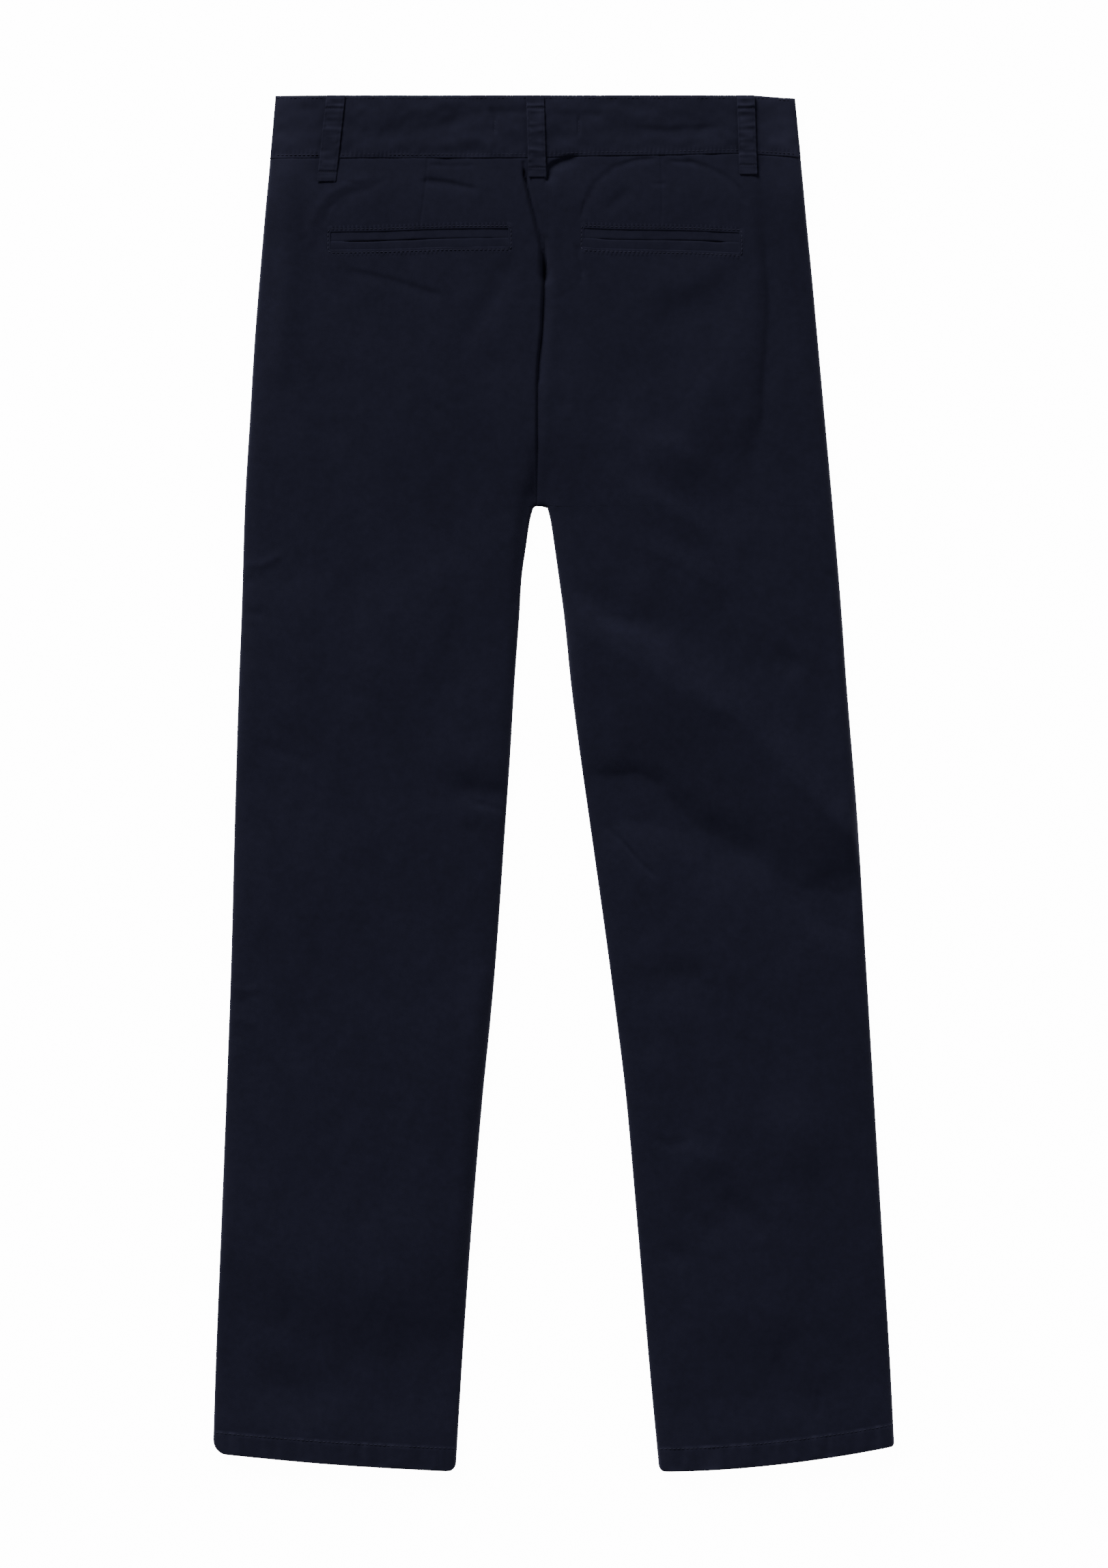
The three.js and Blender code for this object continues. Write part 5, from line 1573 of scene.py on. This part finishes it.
@dataclass
class Stitcher:
    """Makes runs of sewing stitches: short arched pieces of thread, one after another."""

    thread: float = 0.5
    fill: float = 0.7

    def template(self, length: float) -> tuple[Array, Array, Array]:
        """One stitch along x: rings of six points whose radius shrinks and whose middle arches up."""
        along = np.array([-1.0, -0.7, 0, 0.7, 1.0])
        radius = self.thread / 2 * np.array([0.45, 0.9, 1, 0.9, 0.45])
        angle = np.arange(6) * math.pi / 3
        x = np.repeat(along[:, None] * length / 2, 6, axis=1)
        y = radius[:, None] * np.cos(angle)[None, :]
        z = radius[:, None] * np.sin(angle)[None, :] + 0.12 * (1 - along**2)[:, None] - 0.06
        quads = grid_faces(5, 6, close=True)[:, ::-1]
        fan = [(0, i + 1, i) for i in range(1, 5)] + [(24, 24 + i, 25 + i) for i in range(1, 5)]
        return np.stack((x, y, z), axis=-1).reshape(-1, 3), quads, np.array(fan)

    def run(self, path: Array, surface: Surface, facing: Facing, pitch: float = STITCH_PITCH) -> tuple:
        """Lay stitches along a path.

        Args:
            path: Points of across and drop that the run follows.
            surface: The height of the cloth that is sewn.
            facing: Which way the cloth's outside looks.
            pitch: The distance from one stitch to the next.

        Returns:
            Points in metres, quads and end triangles of all the stitches.
        """
        step = np.hypot(*np.diff(path, axis=0).T)
        gone = np.concatenate(([0], np.cumsum(step)))
        count = max(1, int(round(gone[-1] / pitch)))
        length = gone[-1] / count * self.fill
        middle = (np.arange(count) + 0.5) * gone[-1] / count
        at = lambda where: np.stack([np.interp(where, gone, path[:, k]) for k in (0, 1)], -1)
        centre, ahead, behind = at(middle), at(middle + length / 2), at(middle - length / 2)
        heading = ahead - behind
        heading /= np.maximum(np.hypot(heading[:, 0], heading[:, 1]), 1e-6)[:, None]
        rise_ahead, rise_behind = surface(ahead[:, 0], ahead[:, 1]), surface(behind[:, 0], behind[:, 1])
        shape, quads, fans = self.template(length)
        x, y, z = shape[None, :, 0], shape[None, :, 1], shape[None, :, 2]
        across = centre[:, :1] + x * heading[:, :1] - y * heading[:, 1:]
        drop = centre[:, 1:] + x * heading[:, 1:] + y * heading[:, :1]
        height = lerp(rise_behind[:, None], rise_ahead[:, None], x / length + 0.5) + facing.value * z
        if facing is Facing.DOWN:
            height = np.maximum(height, 0)
        points = place(across, drop, height).reshape(-1, 3)
        offsets = (np.arange(count) * shape.shape[0])[:, None, None]
        turn = 1 if facing is Facing.DOWN else -1
        quads = (quads[None] + offsets).reshape(-1, 4)[:, ::turn]
        fans = (fans[None] + offsets).reshape(-1, 3)[:, ::turn]
        return points, quads, fans

    def build(self, name: str, runs: list[tuple], finish: bpy.types.Material) -> bpy.types.Object:
        """Join runs of stitches into one piece."""
        points, quads, fans, first = [], [], [], 0
        for run_points, run_quads, run_fans in runs:
            points.append(run_points)
            quads.append(run_quads + first)
            fans.append(run_fans + first)
            first += len(run_points)
        points = np.concatenate(points)
        grain = points[:, :2]
        piece = new_mesh(name, points, np.concatenate(quads), grain, np.zeros(len(points)), np.concatenate(fans))
        return dress(piece, finish, "thread")


@dataclass
class Sewing:
    """All the garment's visible sewing."""

    lay: Lay
    band: Waistband
    panels: Panels
    pockets: BackPockets
    loops: BeltLoops
    stitcher: Stitcher = field(default_factory=Stitcher)

    def back_surface(self, across: Array, drop: Array) -> Array:
        """Height of the back's outside with its hem puckers."""
        return self.lay.back_top(across, drop) + self.panels.hem_puckers(across, drop)

    def level(self, start: float, stop: float, drop: float) -> Array:
        """A straight run at one drop."""
        across = np.linspace(start, stop, 80)
        return np.stack((across, 0 * across + drop), -1)

    def waistband(self, thread: bpy.types.Material) -> None:
        """Sew the band along its top and its foot, back and front."""
        up, down, s = Facing.UP, Facing.DOWN, self.stitcher
        across = np.linspace(SIDE_EDGES.at("left", np.array(20.0)) + 2, SIDE_EDGES.at("right", np.array(20.0)) - 2, 120)
        lines = (self.band.top_line(across) + 1.6, BAND_FOOT.at("foot", across) - 2.3)
        runs = [s.run(np.stack((across, line), -1), self.band.back_outside, up) for line in lines]
        for drop in (FRONT_BAND_TOP + 2.3, FRONT_BAND_FOOT - 2.6):
            left, right = (float(SIDE_EDGES.at(n, np.array(drop))) for n in ("left", "right"))
            runs.append(s.run(self.level(left + 2, 1.0, drop), self.band.front_outside, down))
            runs.append(s.run(self.level(14.0, right - 2, drop), self.band.underlap_outside, down))
        s.build("stitching_waistband", runs, thread)

    def pocket_frames(self, thread: bpy.types.Material) -> None:
        """Sew each pocket's frame 1.5 mm outside the opening."""
        runs = []
        for plan in POCKETS:
            path, heading = self.pockets.outline(plan)
            path = path + heading * 1.5
            runs.append(self.stitcher.run(np.concatenate((path, path[:1])), self.frame_surface, Facing.UP))
        self.stitcher.build("stitching_back_pockets", runs, thread)

    def frame_surface(self, across: Array, drop: Array) -> Array:
        """Height of the pocket frames at their stitches."""
        return self.lay.back_top(across, drop) + 0.12

    def hems(self, thread: bpy.types.Material) -> None:
        """Sew each hem just under the top of its turn-up, back and front."""
        runs = []
        for side, hem in HEMS.items():
            share = np.linspace(0.008, 0.992, 70)
            up = HEM_TURN_UP
            line = lerp(hem.outer, hem.inner, share) + hem.bow * 4 * share * (1 - share) - up
            outer, inner = SIDE_EDGES.at(side.label, line), INNER_EDGES.at(side.label, line)
            path = np.stack((lerp(outer, inner, share), line), -1)
            runs.append(self.stitcher.run(path, self.back_surface, Facing.UP))
            runs.append(self.stitcher.run(path, self.front_surface, Facing.DOWN))
        self.stitcher.build("stitching_hems", runs, thread)

    def front_surface(self, across: Array, drop: Array) -> Array:
        """Height of the front's outside with its creases."""
        height = self.lay.front_underside(across, drop) + 0.12
        for fold in FRONT_FOLDS:
            height = height + fold.relief(across, drop)
        return height

    def front_details(self, thread: bpy.types.Material) -> None:
        """Sew the curved line of the fly and the edges of the slanted front pockets."""
        runs = []
        turn = np.linspace(0, math.pi / 2, 24)
        straight = np.stack((np.full(30, -31.0), np.linspace(FRONT_BAND_FOOT + 2, 150, 30)), -1)
        bend = np.stack((-31.0 + 32.0 * (1 - np.cos(turn)), 150 + 34 * np.sin(turn)), -1)
        runs.append(self.stitcher.run(np.concatenate((straight, bend[1:])), self.front_surface, Facing.DOWN))
        for side in Side:
            drop = np.linspace(FRONT_BAND_FOOT + 2, self.panels.slant_foot - 3, 50)
            for inset in (2.0, 7.0):
                across = self.panels.slant(side, drop) - side.value * inset
                runs.append(self.stitcher.run(np.stack((across, drop), -1), self.front_surface, Facing.DOWN))
        self.stitcher.build("stitching_fly_and_front_pockets", runs, thread)

    def tacks(self, thread: bpy.types.Material) -> None:
        """Sew the bar tacks of the back belt loops and the two short tacks of the band's inner tape."""
        fine = Stitcher(0.34, 0.9)
        runs = []
        for plan in self.loops.plans[:3]:
            for drop in (plan.top_drop + 8.6, plan.foot_drop - 6.3):
                share = (drop - plan.top_drop) / (plan.foot_drop - plan.top_drop)
                middle = plan.top_across + (plan.foot_across - plan.top_across) * share
                top = float(self.loops.seat(np.array([[middle]]), np.array([[drop]]), plan.width)[0])
                level = top + float(self.loops.stand(np.array(share))) + self.loops.wall - 0.5
                flat = lambda across, drop, level=level: 0 * across + level
                for row in (-0.25, 0.25):
                    path = self.level(middle - plan.width * 0.42, middle + plan.width * 0.42, drop + row)
                    runs.append(fine.run(path, flat, Facing.UP, 1.3))
        for across in (-25.9, 27.4):
            drop = np.linspace(16.3, 23.6, 12)
            path = np.stack((np.full(12, across), drop), -1)
            runs.append(fine.run(path, self.band.back_outside, Facing.UP, 1.8))
        fine.build("stitching_tacks", runs, thread)

    def build(self, thread: bpy.types.Material) -> None:
        """Sew everything."""
        self.waistband(thread)
        self.pocket_frames(thread)
        self.hems(thread)
        self.front_details(thread)
        self.tacks(thread)


@dataclass
class Fastening:
    """The waist button with its thread, and the closed zip behind the fly."""

    button: WaistButton = field(default_factory=WaistButton)

    def build(self, hard: bpy.types.Material, tape: bpy.types.Material, thread: bpy.types.Material) -> None:
        """Dress the button and the zip where the frame has them, and add the button's thread."""
        for node, material in (("waist_button", hard), ("fly_zip", tape)):
            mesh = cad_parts[node].data
            mesh.materials.clear()
            mesh.materials.append(material)
        spread_out = 1.6
        sewn = Stitcher(0.55, 1.0)
        runs = []
        for row in (-spread_out, spread_out):
            start, stop = self.button.across - spread_out, self.button.across + spread_out
            path = np.stack((np.linspace(start, stop, 6), np.full(6, self.button.drop + row)), -1)
            runs.append(sewn.run(path, lambda across, drop: 0 * across + 0.35, Facing.DOWN, 6))
        sewn.build("button_thread", runs, thread)


@dataclass
class Studio:
    """Pale floor, soft light from the waist's left, and the camera straight above."""

    picture_width: float = 1623
    picture_height: float = 2296
    size_of_pixel: float = 0.435
    distance: float = 3000.0
    sensor: float = 36.0
    seen_glow: float = 14.0
    cast_glow: float = 1.8
    light_distance: float = 12.0
    key_power: float = 2950.0
    fill_power: float = 520.0

    def floor(self) -> None:
        """Lay a plain pale floor just under the garment, lit from inside as a light table is."""
        half = 6.0
        corners = np.array([(-half, -half, 0), (half, -half, 0), (half, half, 0), (-half, half, 0)]) - (0, 0, 0.0003)
        piece = new_mesh("floor", corners, np.array([[0, 1, 2, 3]]))
        made = bpy.data.materials.new("pale floor")
        made.use_nodes = True
        shader = made.node_tree.nodes["Principled BSDF"]
        shader.inputs["Base Color"].default_value = (0.82, 0.82, 0.83, 1)
        shader.inputs["Roughness"].default_value = 0.9
        shader.inputs["Specular IOR Level"].default_value = 0.1
        shader.inputs["Emission Color"].default_value = (1, 1, 1, 1)
        w = Wiring(made.node_tree)
        seen = w.node("ShaderNodeLightPath")
        glow = w.math("MULTIPLY_ADD", seen.outputs["Is Camera Ray"], self.seen_glow - self.cast_glow)
        glow.node.inputs[2].default_value = self.cast_glow
        w.link(glow, shader.inputs["Emission Strength"])
        piece.data.materials.append(made)

    def light(self, name: str, power: float, turn: float, elevation: float, size: float) -> None:
        """Add a soft round light far off, aimed at the garment's middle.

        Args:
            name: The light's name.
            power: Its power in watts.
            turn: Its azimuth in degrees, from across towards the waist.
            elevation: Its elevation in degrees.
            size: Its diameter in metres.
        """
        data = bpy.data.lights.new(name, "AREA")
        data.shape = "DISK"
        data.energy, data.size = power, size
        lamp = bpy.data.objects.new(name, data)
        aside, up = math.radians(turn), math.radians(elevation)
        lamp.location = (self.light_distance * math.cos(up) * math.cos(aside),
                         self.light_distance * math.cos(up) * math.sin(aside), self.light_distance * math.sin(up))
        lamp.rotation_euler = (math.pi / 2 - up, 0, aside + math.pi / 2)
        bpy.context.scene.collection.objects.link(lamp)

    def lights(self) -> None:
        """Light from the waist's left, with a weaker one from the right and a pale surround."""
        self.light("key", self.key_power, 118, 24, 4.8)
        self.light("fill", self.fill_power, -8, 26, 5.0)
        world = bpy.data.worlds.new("surround")
        world.use_nodes = True
        background = world.node_tree.nodes["Background"]
        background.inputs["Color"].default_value = (0.96, 0.97, 1.0, 1)
        background.inputs["Strength"].default_value = 0.16
        bpy.context.scene.world = world

    def camera(self) -> None:
        """Hang the camera straight above the picture's middle, with the waist at the top."""
        data = bpy.data.cameras.new("camera")
        data.sensor_width = self.sensor
        data.lens = self.sensor * self.distance / (self.picture_height * self.size_of_pixel)
        made = bpy.data.objects.new("camera", data)
        made.location = (0.0002, -0.0002, self.distance * MM)
        bpy.context.scene.collection.objects.link(made)
        bpy.context.scene.camera = made

    def build(self) -> None:
        """Set up the floor, the lights and the camera."""
        self.floor()
        self.lights()
        self.camera()


def main() -> None:
    """Build the garment's pieces in order round the frame."""
    logging.basicConfig(level=logging.INFO, format="%(name)s %(message)s")
    twill, loops_cloth, thread = TWILL.material(), LOOP_TWILL.material(), THREAD.material()
    Studio().build()
    lay = Lay()
    panels, band, pockets = Panels(lay), Waistband(lay), BackPockets(lay)
    loops = BeltLoops(lay, band)
    for side in Side:
        panels.front(side, twill)
        panels.hip_facing(side, twill)
        panels.back(side, twill)
    band.build(twill)
    loops.build(loops_cloth)
    pockets.build(twill)
    Sewing(lay, band, panels, pockets, loops).build(thread)
    Fastening().build(BUTTON.material(), ZIP.material(), thread)


if __name__ == "__main__":
    main()
